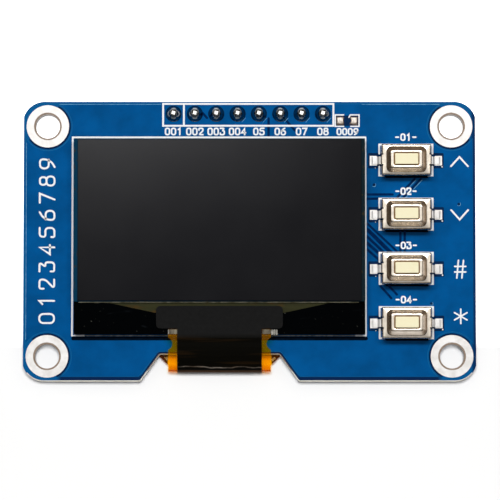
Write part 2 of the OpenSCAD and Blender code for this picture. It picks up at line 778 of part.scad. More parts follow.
// A pad under each foot and a fillet of solder at its end
module key_solder() {
    pad_l = lead_foot + key_fillet + key_pad_margin;
    color([0.8, 0.8, 0.8]) for (i = [1:key_n], s = [0, 1]) at_key(i) mirror([s, 0, 0]) {
        block(lead_reach - lead_foot + pad_l / 2, 0, 0, [pad_l, lead_w + 2 * key_pad_margin, foil_t]);
        along_y(lead_w) polygon([[lead_reach, foil_t - eps], [lead_reach + key_fillet, foil_t - eps],
                                 [lead_reach + key_fillet / 3, foil_t + lead_t / 3],
                                 [lead_reach, foil_t + lead_t]]);
    }
}

// ---------- parts on the back ----------

// Places what is drawn on a board's face, upside down, on the pads of the underside
module on_back(x, y) { translate([x, y, -foil_t]) mirror([0, 0, 1]) children(); }

// Chip part with its long side along X: a body with a metal cap on each end
module chip_part(h) {
    block(0, 0, end_t, [chip_part_l - 2 * end_t, chip_part_w - 2 * end_t, h - 2 * end_t]);
    for (s = [-1, 1]) block(s * (chip_part_l - end_l) / 2, 0, 0, [end_l, chip_part_w, h]);
}

module capacitor(i) { color([0.72, 0.6, 0.45]) on_back(cap_xs[i - 1], cap_y) chip_part(cap_h); }

module resistor(i) { color([0.12, 0.12, 0.13]) on_back(res_xs[i - 1], res_y) chip_part(res_h); }

// Three legs: two on one long side, one on the other
module at_reg_legs() {
    for (s = [-1, 1]) translate([s * reg_pitch / 2, 0, 0]) rotate(-90) children();
    rotate(90) children();
}

module reg_legs() {
    shoulder = 0.15;
    root = 0.1;
    at_reg_legs() wing(reg_span / 2, reg_foot, reg_span / 2 - reg_foot - reg_w / 2 - shoulder, reg_shoulder_z,
                       reg_w / 2 - root, reg_leg_w, reg_leg_t);
}

module regulator_legs() { color([0.8, 0.8, 0.8]) on_back(reg_x, reg_y) reg_legs(); }

module regulator_body() {
    low = reg_w / 2 - reg_draft;
    mid = (reg_h + reg_lift) / 2;
    color([0.1, 0.1, 0.1]) on_back(reg_x, reg_y) difference() {
        along_x(reg_l) polygon([[-low, reg_lift], [low, reg_lift], [reg_w / 2, mid],
                                [low, reg_h], [-low, reg_h], [-reg_w / 2, mid]]);
        reg_legs();
    }
}

// A thin bed of solder under each metal end and each leg
module chip_beds(x, y) {
    for (s = [-1, 1])
        block(x + s * (chip_part_l - end_l + pad_out) / 2, y, -foil_t,
              [end_l + pad_out, chip_part_w + 2 * pad_side, foil_t]);
}

module chip_solder() {
    color([0.8, 0.8, 0.8]) {
        for (x = cap_xs) chip_beds(x, cap_y);
        for (x = res_xs) chip_beds(x, res_y);
        translate([reg_x, reg_y, 0]) at_reg_legs()
            block((reg_span - reg_foot + pad_out) / 2, 0, -foil_t,
                  [reg_foot + pad_out, reg_leg_w + 2 * pad_side, foil_t]);
    }
}

// ---------- nodes ----------

pcb();
mounting_rings();
foam_pad();
back_glass();
front_glass();
polariser();
driver_chip();
flex_tail();
flex_tape();
flex_solder();
header_strip();
header_pins();
header_solder();
jumper_pads();
key_solder();
for (i = [1:key_n]) {
    key_body(i);
    key_cover(i);
    key_terminals(i);
    key_dome(i);
    key_plunger(i);
}
for (i = [1:cap_n]) capacitor(i);
for (i = [1:res_n]) resistor(i);
regulator_body();
regulator_legs();
chip_solder();
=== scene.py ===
"""Looks of the small display module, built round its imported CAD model."""

import math

import bmesh
import bpy
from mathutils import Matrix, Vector


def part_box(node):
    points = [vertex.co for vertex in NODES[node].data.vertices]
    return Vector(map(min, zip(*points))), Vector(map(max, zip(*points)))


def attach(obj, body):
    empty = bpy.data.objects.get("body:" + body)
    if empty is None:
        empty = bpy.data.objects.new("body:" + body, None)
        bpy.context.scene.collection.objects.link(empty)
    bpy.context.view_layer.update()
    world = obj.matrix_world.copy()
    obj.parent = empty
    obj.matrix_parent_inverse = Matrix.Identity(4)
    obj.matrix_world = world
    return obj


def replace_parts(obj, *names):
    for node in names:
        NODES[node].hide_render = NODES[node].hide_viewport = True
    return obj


MM = 0.001
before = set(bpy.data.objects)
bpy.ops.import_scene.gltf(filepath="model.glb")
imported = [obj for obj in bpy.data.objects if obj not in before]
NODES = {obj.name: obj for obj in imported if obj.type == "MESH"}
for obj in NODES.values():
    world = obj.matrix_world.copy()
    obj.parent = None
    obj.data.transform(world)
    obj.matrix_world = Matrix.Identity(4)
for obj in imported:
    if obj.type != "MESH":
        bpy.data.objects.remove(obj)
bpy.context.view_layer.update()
ROOT = "module"
KEYS = (1, 2, 3, 4)


# ---------- places, in millimetres, read from the CAD model ------

def box_mm(node):
    """Lowest and highest corner of a CAD node, in millimetres."""
    low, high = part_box(node)
    return low / MM, high / MM


def centre_mm(node):
    """Middle of a CAD node's box, in millimetres."""
    low, high = box_mm(node)
    return (low + high) / 2


board_low, board_high = box_mm("pcb")
board_top = board_high.z
ring_high = box_mm("mounting_rings")[1]
ledge_low, ledge_high = box_mm("back_glass")
panel_low, panel_high = box_mm("front_glass")
pins_low, pins_high = box_mm("header_pins")
tape_low, tape_high = box_mm("flex_tape")
plunger_top = box_mm("key1_plunger")[1].z
cover_low, cover_high = box_mm("key1_cover")
RING_R, RING_HOLE_R, HOLE_R = 2.525, 1.65, 1.45
hole_x, hole_y = ring_high.x - RING_R, ring_high.y - RING_R
HOLES = [(x, y) for x in (-hole_x, hole_x) for y in (-hole_y, hole_y)]


# ---------- short-hands for shader nodes ----------

def linear(color):
    """Scene colour of an sRGB triple from 0 to 255. A socket or a colour with alpha stays as it is."""
    if isinstance(color, bpy.types.NodeSocket) or len(color) == 4:
        return color
    parts = [part / 255 for part in color]
    return (*[p / 12.92 if p <= 0.04045 else ((p + 0.055) / 1.055) ** 2.4 for p in parts], 1)


class Nodes:
    """Builds the nodes of one shader tree."""

    def __init__(self, tree):
        self.tree = tree

    def link(self, a, b):
        self.tree.links.new(a, b)

    def feed(self, socket, value):
        """Gives a socket a number, a colour or another socket's output."""
        if isinstance(value, bpy.types.NodeSocket):
            self.link(value, socket)
        else:
            socket.default_value = value

    def node(self, kind, **inputs):
        """Adds a node and feeds its inputs by name."""
        made = self.tree.nodes.new("ShaderNode" + kind)
        for socket, value in inputs.items():
            self.feed(made.inputs[socket], value)
        return made

    def place(self, kind):
        """Texture coordinates of a kind, such as Object or Generated."""
        return self.node("TexCoord").outputs[kind]

    def split(self, vector):
        """X, Y and Z of a vector."""
        return self.node("SeparateXYZ", Vector=vector).outputs

    def remap(self, value, *limits):
        """A value carried from the first two limits to the last two."""
        made = self.node("MapRange")
        for socket, number in zip(made.inputs, (value, *limits)):
            self.feed(socket, number)
        return made.outputs[0]

    def calc(self, operation, a, b=0.0):
        """Maths on two values, each a number or a socket."""
        made = self.node("Math")
        made.operation = operation
        self.feed(made.inputs[0], a)
        self.feed(made.inputs[1], b)
        return made.outputs[0]

    def mix(self, factor, a, b):
        """Mixes two colours, each a colour or a socket."""
        made = self.node("Mix")
        made.data_type = "RGBA"
        for i, value in ((0, factor), (6, linear(a)), (7, linear(b))):
            self.feed(made.inputs[i], value)
        return made.outputs[2]


class Paint(Nodes):
    """A node material with short-hands for procedural variation."""

    def __init__(self, name, color, roughness=0.5, metallic=0.0, specular=0.5):
        self.material = bpy.data.materials.new(name)
        self.material.use_nodes = True
        super().__init__(self.material.node_tree)
        self.shader = self.tree.nodes["Principled BSDF"]
        self.output = self.tree.nodes["Material Output"]
        self.set("Base Color", linear(color))
        self.set("Roughness", roughness)
        self.set("Metallic", metallic)
        self.set("Specular IOR Level", specular)

    def set(self, socket, value):
        self.feed(self.shader.inputs[socket], value)

    def position(self, scale=(1, 1, 1)):
        """Object coordinates in millimetres, stretched by scale."""
        scale = [s / MM for s in scale]
        return self.node("Mapping", Vector=self.place("Object"), Scale=scale).outputs["Vector"]

    def axes(self):
        """Object coordinates X, Y and Z in millimetres."""
        return self.split(self.position())

    def noise(self, scale, detail=3, stretch=(1, 1, 1), distortion=0.0):
        """Noise with scale features a millimetre."""
        made = self.node("TexNoise", Vector=self.position(stretch), Scale=scale, Detail=detail,
                         Roughness=0.55, Distortion=distortion)
        return made.outputs["Fac"]

    def vary(self, scale, a, b, low=0.35, high=0.65, detail=3, stretch=(1, 1, 1)):
        """Base colour that drifts between a and b."""
        where = self.remap(self.noise(scale, detail, stretch), low, high, 0, 1)
        self.set("Base Color", self.mix(where, a, b))

    def vary_roughness(self, scale, a, b, stretch=(1, 1, 1)):
        self.set("Roughness", self.remap(self.noise(scale, stretch=stretch), 0.3, 0.7, a, b))

    def bump(self, height, depth):
        """Bump from a height socket, depth in millimetres."""
        made = self.node("Bump", Height=height, Distance=depth * MM)
        self.set("Normal", made.outputs["Normal"])

    def grain(self, depth, *shape, **more):
        """Bump of noise, depth in millimetres."""
        self.bump(self.noise(*shape, **more), depth)

    def facing_up(self):
        """1 on faces that look along +Z or -Z, 0 on the sides."""
        upright = self.split(self.place("Normal"))["Z"]
        return self.remap(self.calc("ABSOLUTE", upright), 0.5, 0.6, 0, 1)


# ---------- materials ----------

BORE_REACH = (1.6, 1.8)
BORE_SPAN = (15.3, 15.4)
LOW_EDGE_SHADE_REACH = (22.3, 22.9)
NOTCH_LIP_Y = (-15.6, -15.2)
JUMPER_Y, JUMPER_H = 14.37, 1.04
FILM_BODY = (0.09, 0.036, 0.0, 1)
FILM_TINT = (0.97, 0.835, 0.01, 1)
FILM_SHADE = (0.93, 0.75, 0.01, 1)
FILM_FOLD_SHADE = (0.76, 0.5, 0.02, 1)
WING_SHADE = (0.42, 0.2, 0.01, 1)
# Each tint of the film takes over from the one before between two places along Y. The shade and fold tints
# are painted shade, below the board's edge and round the fold.
FILM_BANDS = ((-13.6, -14.1, FILM_TINT), (-13.4, -13.3, FILM_TINT), (-14.6, -14.95, FILM_SHADE),
              (-15.25, -15.35, FILM_FOLD_SHADE))
LEG_MIDDLE, LEG_HALF = -3.55, 6.15
TAPE_CREASE_Y = -15.0


def board_material():
    """Bare solder mask on the faces, glass-fibre laminate on the cut sides, browner in the holes. Near the
    edges the mask carries painted light in brighter blue, for light through the board, and painted shade in
    navy along the lower and right edges; the browner holes are painted shade.
    """
    paint = Paint("board_laminate", (6, 52, 98), roughness=0.3, specular=0.03)
    x, y, _ = paint.axes()
    aside, off = paint.calc("ABSOLUTE", x), paint.calc("ABSOLUTE", y)
    # Painted light and shade on the bare mask: brighter blue near the edges, navy along the lower and right
    # edges.
    low_edge_shade = paint.remap(y, board_low.y + 0.4, board_low.y + 0.9, 1, 0)
    low_edge_shade = paint.calc("MULTIPLY", low_edge_shade, paint.remap(aside, *LOW_EDGE_SHADE_REACH, 1, 0))
    right_edge_shade = paint.remap(x, board_high.x - 0.6, board_high.x - 0.3, 0, 1)
    rim = paint.mix(paint.noise(1.5), (0, 84, 144), (2, 94, 152))
    rim = paint.mix(low_edge_shade, rim, (0, 36, 80))
    mask = paint.mix(right_edge_shade, rim, (0, 46, 94))
    grain = paint.noise(2.2, 4, stretch=(1, 1, 9))
    beige = paint.mix(grain, (188, 182, 164), (240, 237, 226))
    # Painted shade: browner laminate in the holes.
    brown = paint.mix(grain, (84, 68, 54), (136, 116, 96))
    from_hole = paint.calc("ABSOLUTE", paint.calc("SUBTRACT", aside, hole_x))
    bore_shade = paint.remap(from_hole, *BORE_REACH, 1, 0)
    bore_shade = paint.calc("MULTIPLY", bore_shade, paint.remap(off, *BORE_SPAN, 1, 0))
    laminate = paint.mix(bore_shade, beige, brown)
    paint.set("Base Color", paint.mix(paint.facing_up(), laminate, mask))
    paint.grain(0.006, 6)
    return paint.material


def pour_material():
    """Solder mask over copper: the same ink, lighter where copper lies under it."""
    paint = Paint("mask_over_copper", (0, 81, 142), roughness=0.2, specular=0.02)
    paint.vary(0.35, (0, 77, 136), (0, 88, 154), detail=5)
    paint.vary_roughness(0.9, 0.15, 0.24)
    paint.grain(0.002, 3.0, 4)
    return paint.material


def gap_material():
    """Mask with no copper under it: dark navy."""
    paint = Paint("mask_without_copper", (0, 36, 76), roughness=0.3, specular=0.03)
    paint.vary(1.2, (0, 30, 66), (1, 44, 88))
    paint.grain(0.003, 5)
    return paint.material


def drifting_material(name, dark, light, specular=0.1):
    """Plain skin that drifts between two colours."""
    paint = Paint(name, light, roughness=0.3, specular=specular)
    paint.vary(2.0, dark, light)
    return paint.material


def laminate_material():
    """Cut glass-fibre board: pale beige at the lower edge, brown above it, in the holes and higher up the
    notch, which is painted shade.
    """
    paint = Paint("cut_laminate", (186, 178, 160), roughness=0.6)
    edge = paint.remap(paint.axes()["Y"], *NOTCH_LIP_Y, 1, 0)
    beige = paint.mix(paint.noise(1.6, 4), (196, 192, 176), (246, 244, 236))
    # Painted shade: brown laminate away from the lower edge.
    brown = paint.mix(paint.noise(3.0, 4), (112, 94, 78), (168, 144, 124))
    paint.set("Base Color", paint.mix(edge, brown, beige))
    paint.grain(0.01, 9, 4, stretch=(1, 1, 4))
    return paint.material


def silk_material():
    """White print with a grainy skin."""
    paint = Paint("white_print", (250, 251, 253), roughness=0.6)
    paint.vary(5, (244, 246, 248), (254, 254, 255))
    paint.grain(0.004, 14, 2)
    return paint.material


def tinned_material():
    """Tinned copper: bright, with soft blotches and faint brush marks."""
    paint = Paint("tinned", (232, 230, 228), roughness=0.36, metallic=0.4)
    paint.vary(1.0, (214, 211, 207), (232, 230, 228), detail=4)
    paint.vary_roughness(1.6, 0.31, 0.43)
    paint.grain(0.003, 3.0, 4, distortion=0.6)
    return paint.material


def jumper_material():
    """Solder, bright, with painted shade in brown-grey on its lower side."""
    paint = Paint("jumper_solder", (230, 224, 216), roughness=0.3, metallic=0.8)
    # Painted shade on the pillows' lower side.
    low = paint.remap(paint.axes()["Y"], JUMPER_Y - 0.4, JUMPER_Y - 0.05, 1, 0)
    bright = paint.mix(paint.noise(3.4), (120, 106, 92), (240, 232, 222))
    paint.set("Base Color", paint.mix(low, bright, (92, 80, 70)))
    paint.grain(0.02, 3.5)
    return paint.material


def steel_material(name, color, roughness):
    """Stamped sheet with a fine grain along X."""
    paint = Paint(name, color, roughness=roughness, metallic=1.0)
    paint.vary(1.1, [c - 16 for c in color], color)
    paint.vary_roughness(2.0, roughness - 0.03, roughness + 0.05, stretch=(0.5, 2, 2))
    paint.grain(0.0002, 5, 2, stretch=(0.3, 1, 1))
    return paint.material


def solder_material():
    """Glossy solder with soft waves; its dark colour is a painted dark reflection."""
    # Painted reflection: the solder's colour is darkened to look like the dark room it mirrors.
    paint = Paint("solder_joint", (92, 98, 98), roughness=0.1, metallic=1.0)
    paint.vary(2.5, (72, 80, 82), (128, 132, 134))
    paint.grain(0.006, 2.0, distortion=0.5)
    return paint.material


def plastic_material(name, color, roughness, grain):
    """Moulded plastic with a fine spark-eroded skin."""
    paint = Paint(name, color, roughness=roughness)
    paint.vary(2.0, [max(0, c - 5) for c in color], [min(255, c + 5) for c in color])
    paint.grain(0.004, grain)
    return paint.material


def plunger_material():
    """Cream plastic, brown where it sinks into the shade of the cover's window."""
    paint = Paint("cream_plastic", (255, 240, 200), roughness=0.45, specular=0.2)
    lit = paint.remap(paint.axes()["Z"], plunger_top - 0.18, plunger_top - 0.1, 0, 1)
    cream = paint.mix(paint.noise(2.0), (255, 244, 203), (255, 250, 213))
    paint.set("Base Color", paint.mix(lit, (168, 128, 72), cream))
    paint.grain(0.004, 12)
    return paint.material


def glass_material():
    """Display glass over its dark films, with painted light in teal towards the left that fades to the
    right: the board's blue seen in the glass.
    """
    paint = Paint("display_glass", (8, 30, 42), roughness=0.05, specular=0.05)
    # Painted light: teal at the left for the board's blue in the glass.
    across = paint.remap(paint.axes()["X"], panel_low.x + 0.8, panel_high.x - 0.8, 0, 1)
    films = paint.mix(across, (0, 52, 78), (14, 32, 40))
    specks = paint.remap(paint.noise(2.2, 4, stretch=(1.5, 0.8, 1)), 0.6, 0.68, 0, 1)
    paint.set("Base Color", paint.mix(specks, films, (58, 48, 26)))
    paint.grain(0.001, 0.4, 2)
    return paint.material


def ledge_material():
    """Back glass: a black glossy ledge with faint scratches and specks."""
    paint = Paint("ledge_glass", (3, 4, 5), roughness=0.05, specular=0.005)
    scratch = paint.noise(0.9, 5, stretch=(0.22, 1.6, 1), distortion=0.8)
    scratch = paint.remap(scratch, 0.66, 0.76, 0, 0.6)
    speck = paint.remap(paint.noise(3.4, 1), 0.76, 0.8, 0, 1)
    film = paint.mix(scratch, (2, 3, 4), (30, 34, 38))
    paint.set("Base Color", paint.mix(speck, film, (92, 92, 84)))
    paint.grain(0.001, 0.5, 2)
    return paint.material


def polariser_material():
    """Dark film with an anti-glare skin."""
    paint = Paint("polariser_film", (4, 4, 5), roughness=0.31, specular=0.02)
    paint.vary(0.12, (3, 3, 4), (5, 5, 6))
    paint.grain(0.0004, 3, 2)
    return paint.material


def film_material():
    """Translucent amber film: olive over the board, glowing orange over the pale floor, with painted shade
    in darker tints below the board's edge, round the fold and on the wings.
    """
    paint = Paint("amber_film", FILM_BODY, roughness=0.12, specular=0.04)
    paint.vary(0.8, [c * 0.7 for c in FILM_BODY[:3]] + [1], FILM_BODY)
    paint.grain(0.09, 0.9, 4, distortion=0.5)
    x, y, _ = paint.axes()
    from_middle = paint.calc("ABSOLUTE", paint.calc("SUBTRACT", x, LEG_MIDDLE))
    # Painted shade: darker tints of the light through the film on the wings and along Y.
    wing = paint.remap(from_middle, LEG_HALF, LEG_HALF + 0.1, 0, 1)
    tint = FILM_SHADE
    for start, end, color in FILM_BANDS:
        tint = paint.mix(paint.remap(y, start, end, 0, 1), tint, color)
    through = paint.node("BsdfTransparent", Color=paint.mix(wing, tint, WING_SHADE))
    both = paint.node("AddShader")
    paint.link(through.outputs[0], both.inputs[0])
    paint.link(paint.shader.outputs[0], both.inputs[1])
    paint.link(both.outputs[0], paint.output.inputs["Surface"])
    return paint.material


def tape_material():
    """Black tape: matt where it lies flat, glossy and creased where it runs round the fold, with painted
    sheen in brown streaks along the creases and a painted glint along the crease ridge.
    """
    paint = Paint("black_tape", (28, 28, 28), roughness=0.6, specular=0.02)
    along = paint.axes()["Y"]
    leg = paint.remap(along, ledge_low.y - 0.5, ledge_low.y + 0.1, 1, 0)
    head = paint.mix(paint.noise(2.5, 5), (21, 21, 21), (31, 31, 31))
    crease = paint.noise(0.8, 4, stretch=(0.12, 2.2, 1))
    # Painted sheen: brown streaks along the creases.
    streak = paint.mix(paint.remap(crease, 0.54, 0.68, 0, 1), (9, 8, 5), (30, 20, 9))
    turned = paint.remap(along, TAPE_CREASE_Y - 0.42, TAPE_CREASE_Y - 0.34, 1, 0)
    tape = paint.mix(leg, head, paint.mix(turned, streak, (70, 46, 24)))
    # Painted glint: a pale broken line along the crease ridge, which the bump also raises.
    wave = paint.remap(paint.noise(0.35, 2, stretch=(1, 0.2, 1)), 0, 1, -0.35, 0.35)
    off = paint.calc("SUBTRACT", paint.calc("ADD", along, wave), TAPE_CREASE_Y)
    ridge = paint.remap(paint.calc("ABSOLUTE", off), 0, 0.09, 1, 0)
    patch = paint.remap(paint.noise(0.5, stretch=(1, 0.1, 1)), 0.4, 0.62, 0.15, 0.85)
    pale = paint.mix(paint.noise(0.6, 2, stretch=(1, 0.1, 1)), (120, 84, 44), (190, 186, 178))
    paint.set("Base Color", paint.mix(paint.calc("MULTIPLY", ridge, patch), tape, pale))
    paint.set("Roughness", paint.remap(leg, 0, 1, 0.62, 0.34))
    paint.bump(paint.calc("ADD", ridge, crease), 0.03)
    return paint.material


def bond_material():
    """Bright bonded strips under the film, brown where they fade."""
    paint = Paint("bond_strips", (120, 112, 92), roughness=0.4, specular=0.2)
    paint.vary(0.9, (62, 54, 40), (140, 132, 112), stretch=(1.6, 0.5, 1))
    paint.grain(0.004, 4)
    return paint.material


def glint_material():
    """Painted highlight: film where it turns towards the light."""
    paint = Paint("film_glint", (255, 206, 120), roughness=0.3, specular=0.05)
    paint.vary(2.0, (255, 190, 70), (255, 244, 214))
    paint.grain(0.01, 4)
    return paint.material


def fan_material():
    """Fan of fine conductors on the ledge: olive, with golden streaks."""
    paint = Paint("fan_out", (56, 56, 30), roughness=0.5, specular=0.05)
    olive = paint.mix(paint.noise(0.7, 4, stretch=(0.4, 2, 1)), (36, 36, 18), (56, 56, 30))
    gold = paint.remap(paint.noise(0.5, stretch=(0.6, 2.5, 1)), 0.55, 0.68, 0, 1)
    paint.set("Base Color", paint.mix(gold, olive, (72, 50, 16)))
    paint.grain(0.003, 6, stretch=(3, 0.5, 1))
    return paint.material


def edge_highlight_material():
    """Painted highlight on the front glass's edge: a pale broken line."""
    paint = Paint("glass_edge_highlight", (104, 100, 74), roughness=0.4, specular=0.2)
    paint.vary(1.4, (150, 144, 110), (236, 230, 196), low=0.36, high=0.6)
    paint.grain(0.004, 5)
    return paint.material


def chip_part_material(name, body):
    """Ceramic body between two tinned ends."""
    paint = Paint(name, body)
    from_end = paint.calc("PINGPONG", paint.split(paint.place("Generated"))["X"], 0.5)
    end = paint.remap(from_end, 0.2, 0.205, 1, 0)
    coat = paint.mix(paint.noise(4), body, [c * 0.85 for c in body])
    paint.set("Base Color", paint.mix(end, coat, (222, 220, 216)))
    paint.set("Metallic", paint.remap(end, 0, 1, 0, 0.8))
    paint.grain(0.004, 9)
    return paint.material


def dress(material, *nodes):
    """Gives CAD nodes a material."""
    for name in nodes:
        mesh = NODES[name].data
        mesh.materials.clear()
        mesh.materials.append(material)


SILK = silk_material()
POUR = pour_material()
GAP = gap_material()
TINNED = tinned_material()
COVER = steel_material("cover_steel", (228, 217, 202), 0.22)
CREAM = plunger_material()
BLACK = plastic_material("black_plastic", (22, 22, 23), 0.5, 10)
# Painted highlight for the mask's light-catching edges.
MASK_HIGHLIGHT = drifting_material("mask_painted_highlight", (40, 124, 178), (110, 176, 210), 0.5)

dress(board_material(), "pcb")
dress(TINNED, "mounting_rings", "jumper_pads", "chip_solder", "regulator_legs", "key_solder")
dress(plastic_material("foam", (20, 20, 21), 0.9, 6), "foam_pad")
dress(ledge_material(), "back_glass")
dress(glass_material(), "front_glass")
dress(polariser_material(), "polariser")
dress(plastic_material("silicon", (70, 72, 76), 0.2, 2), "driver_chip")
dress(film_material(), "flex_tail")
dress(tape_material(), "flex_tape")
dress(solder_material(), "flex_solder", "header_solder")
dress(BLACK, "header_strip", "regulator_body")
dress(steel_material("pin_metal", (238, 232, 222), 0.2), "header_pins")
dress(chip_part_material("ceramic_part", (150, 122, 88)), *[f"capacitor{i}" for i in range(1, 6)])
dress(chip_part_material("resistor_part", (26, 26, 28)), *[f"resistor{i}" for i in range(1, 5)])
for key in KEYS:
    dress(BLACK, f"key{key}_body")
    dress(COVER, f"key{key}_cover", f"key{key}_dome")
    dress(TINNED, f"key{key}_terminals")
    dress(CREAM, f"key{key}_plunger")


# ---------- mesh helpers, all sizes in millimetres ----------

def smooth(piece, angle):
    """Smooth shading that keeps edges sharper than the angle."""
    mesh = piece.data
    for face in mesh.polygons:
        face.use_smooth = True
    made = bmesh.new()
    made.from_mesh(mesh)
    for edge in made.edges:
        edge.smooth = len(edge.link_faces) == 2 and edge.calc_face_angle() < math.radians(angle)
    made.to_mesh(mesh)
    made.free()


def finish_piece(name, made, material, angle=35):
    """Turns a bmesh in millimetres into a piece that rides on the module."""
    bmesh.ops.scale(made, vec=(MM, MM, MM), verts=made.verts)
    bmesh.ops.recalc_face_normals(made, faces=made.faces)
    mesh = bpy.data.meshes.new(name)
    made.to_mesh(mesh)
    made.free()
    mesh.materials.append(material)
    piece = bpy.data.objects.new(name, mesh)
    bpy.context.scene.collection.objects.link(piece)
    smooth(piece, angle)
    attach(piece, ROOT)
    return piece


def arc(x, y, r, start, end, steps=12):
    """Points of an arc, angles in degrees."""
    turns = [math.radians(start + (end - start) * i / steps) for i in range(steps + 1)]
    return [(x + r * math.cos(t), y + r * math.sin(t)) for t in turns]


def circle(x, y, r, steps=40):
    return arc(x, y, r, 0, 360, steps)[:-1]


def rectangle(x0, y0, x1, y1):
    return [(x0, y0), (x1, y0), (x1, y1), (x0, y1)]


def rounded(points, r, closed=False, steps=5):
    """Fillets a path's corners with curves that reach up to r along each side."""
    made = []
    count = len(points)
    for i, here in enumerate(points):
        if not closed and i in (0, count - 1):
            made.append(here)
            continue
        here = Vector(here)
        before = Vector(points[i - 1]) - here
        after = Vector(points[(i + 1) % count]) - here
        reach = min(r, before.length / 2, after.length / 2)
        a = here + before.normalized() * reach
        b = here + after.normalized() * reach
        for k in range(steps + 1):
            t = k / steps
            made.append(tuple(a * (1 - t) ** 2 + here * 2 * t * (1 - t) + b * t ** 2))
    return made


def soft_box(x0, y0, x1, y1, r, steps=3):
    """Outline of a rectangle with round corners."""
    return rounded(rectangle(x0, y0, x1, y1), r, True, steps)


def sides(points, closed):
    """Mitre vector to the left of each point of a path."""
    made = []
    count = len(points)
    for i, here in enumerate(points):
        ways = []
        if closed or i > 0:
            ways.append((Vector(here) - Vector(points[i - 1])).normalized())
        if closed or i < count - 1:
            ways.append((Vector(points[(i + 1) % count]) - Vector(here)).normalized())
        lefts = [Vector((-w.y, w.x)) for w in ways]
        total = sum(lefts, Vector((0, 0)))
        made.append(total / max(0.35, 1 + lefts[0].dot(lefts[-1])) if len(lefts) > 1 else lefts[0])
    return made


def shifted(points, distance, closed=True):
    """Moves a path to its left: inwards for a closed outline that runs anticlockwise."""
    return [tuple(Vector(p) + s * distance) for p, s in zip(points, sides(points, closed))]


def thinned(points, least):
    """Drops points of a path that lie closer to the one before than least."""
    kept = []
    for point in points:
        if not kept or (Vector(point) - Vector(kept[-1])).length > least:
            kept.append(point)
    return kept


def loft(made, rows, closed=False):
    """Joins rows of four vertices into a bar, with caps at its ends when it is open."""
    for a, b in zip(rows, rows[1:] + rows[:1] if closed else rows[1:]):
        for k in range(4):
            made.faces.new((a[k], b[k], b[(k + 1) % 4], a[(k + 1) % 4]))
    if not closed:
        made.faces.new(rows[0])
        made.faces.new(rows[-1])


def round_end(station, inner, half):
    """Ever narrower stations past the end of a line, as (place, side, reach)."""
    tip, left, _ = station
    way = (tip - Vector(inner)).normalized()
    return [(tip + way * half * math.sin(t), left, half * max(math.cos(t), 0.05))
            for t in (0.5, 1.0, 1.3, math.pi / 2)]


def ribbon(made, points, width, low, high, closed=False, bevel=0.012):
    """Adds a flat printed line with soft shoulders and, when open, round ends."""
    half = width / 2
    stations = [(Vector(p), s, half) for p, s in zip(points, sides(points, closed))]
    if not closed:
        first, last = round_end(stations[0], points[1], half), round_end(stations[-1], points[-2], half)
        stations = first[::-1] + stations + last
    rows = []
    for place, left, reach in stations:
        top = max(reach - bevel, reach * 0.4)
        row = ((reach, low), (top, high), (-top, high), (-reach, low))
        rows.append([made.verts.new((*(place + left * side), z)) for side, z in row])
    loft(made, rows, closed)


def plate(made, outline, low, high, bevel=0.012):
    """Adds a plate with a chamfered upper edge. The outline runs anticlockwise."""
    outline = thinned(outline, 4 * bevel)
    rings = [[(x, y, low) for x, y in outline], [(x, y, high - bevel) for x, y in outline],
             [(x, y, high) for x, y in shifted(outline, bevel)]]
    rings = [[made.verts.new(p) for p in ring] for ring in rings]
    count = len(outline)
    for a, b in zip(rings, rings[1:]):
        for i in range(count):
            made.faces.new((a[i], a[(i + 1) % count], b[(i + 1) % count], b[i]))
    top = made.faces.new(rings[-1])
    bottom = made.faces.new(rings[0])
    made.normal_update()
    bmesh.ops.triangulate(made, faces=[top, bottom], ngon_method="EAR_CLIP")


def bite(outline, centre, r):
    """Cuts a round bite out of a closed anticlockwise outline."""
    middle = Vector(centre)
    start = next(i for i, p in enumerate(outline) if (Vector(p) - middle).length > r)
    outline = outline[start:] + outline[:start + 1]
    made = []
    for here, after in zip(outline, outline[1:]):
        a, b = Vector(here) - middle, Vector(after) - middle
        outside = a.length > r
        if outside:
            made.append(here)
        if outside == (b.length > r):
            continue
        way = b - a
        p, q = way.dot(way), 2 * way.dot(a)
        root = math.sqrt(q * q - 4 * p * (a.dot(a) - r * r))
        cut = a + way * ((-q - root if outside else root - q) / (2 * p))
        turn = math.degrees(math.atan2(cut.y, cut.x))
        if outside:
            first = turn
        else:
            made += arc(*centre, r, first, turn if turn <= first else turn - 360, 24)
    return made


def board_outline():
    """Anticlockwise outline of the board's upper face, from its mesh."""
    made = bmesh.new()
    made.from_mesh(NODES["pcb"].data)
    bmesh.ops.remove_doubles(made, verts=made.verts, dist=1e-6)
    top = [f for f in made.faces if f.normal.z > 0.9 and f.calc_center_median().z / MM > board_top - 0.01]
    rim = {}
    for face in top:
        for loop in face.loops:
            other = [f for f in loop.edge.link_faces if f is not face]
            if not other or other[0].normal.z < 0.9:
                rim[loop.vert] = loop.link_loop_next.vert
    paths = []
    while rim:
        here = next(iter(rim))
        path = []
        while here in rim:
            path.append((here.co.x / MM, here.co.y / MM))
            here = rim.pop(here)
        paths.append(path)
    made.free()
    return max(paths, key=lambda path: max(x for x, y in path))


def surface_z(node, x, y):
    """Height of a node's upper face at a place, in millimetres, or None beside the node."""
    hit, place, _, _ = NODES[node].ray_cast(Vector((x, y, 20)) * MM, Vector((0, 0, -1)))
    return place.z / MM if hit else None


# ---------- the board's face ----------

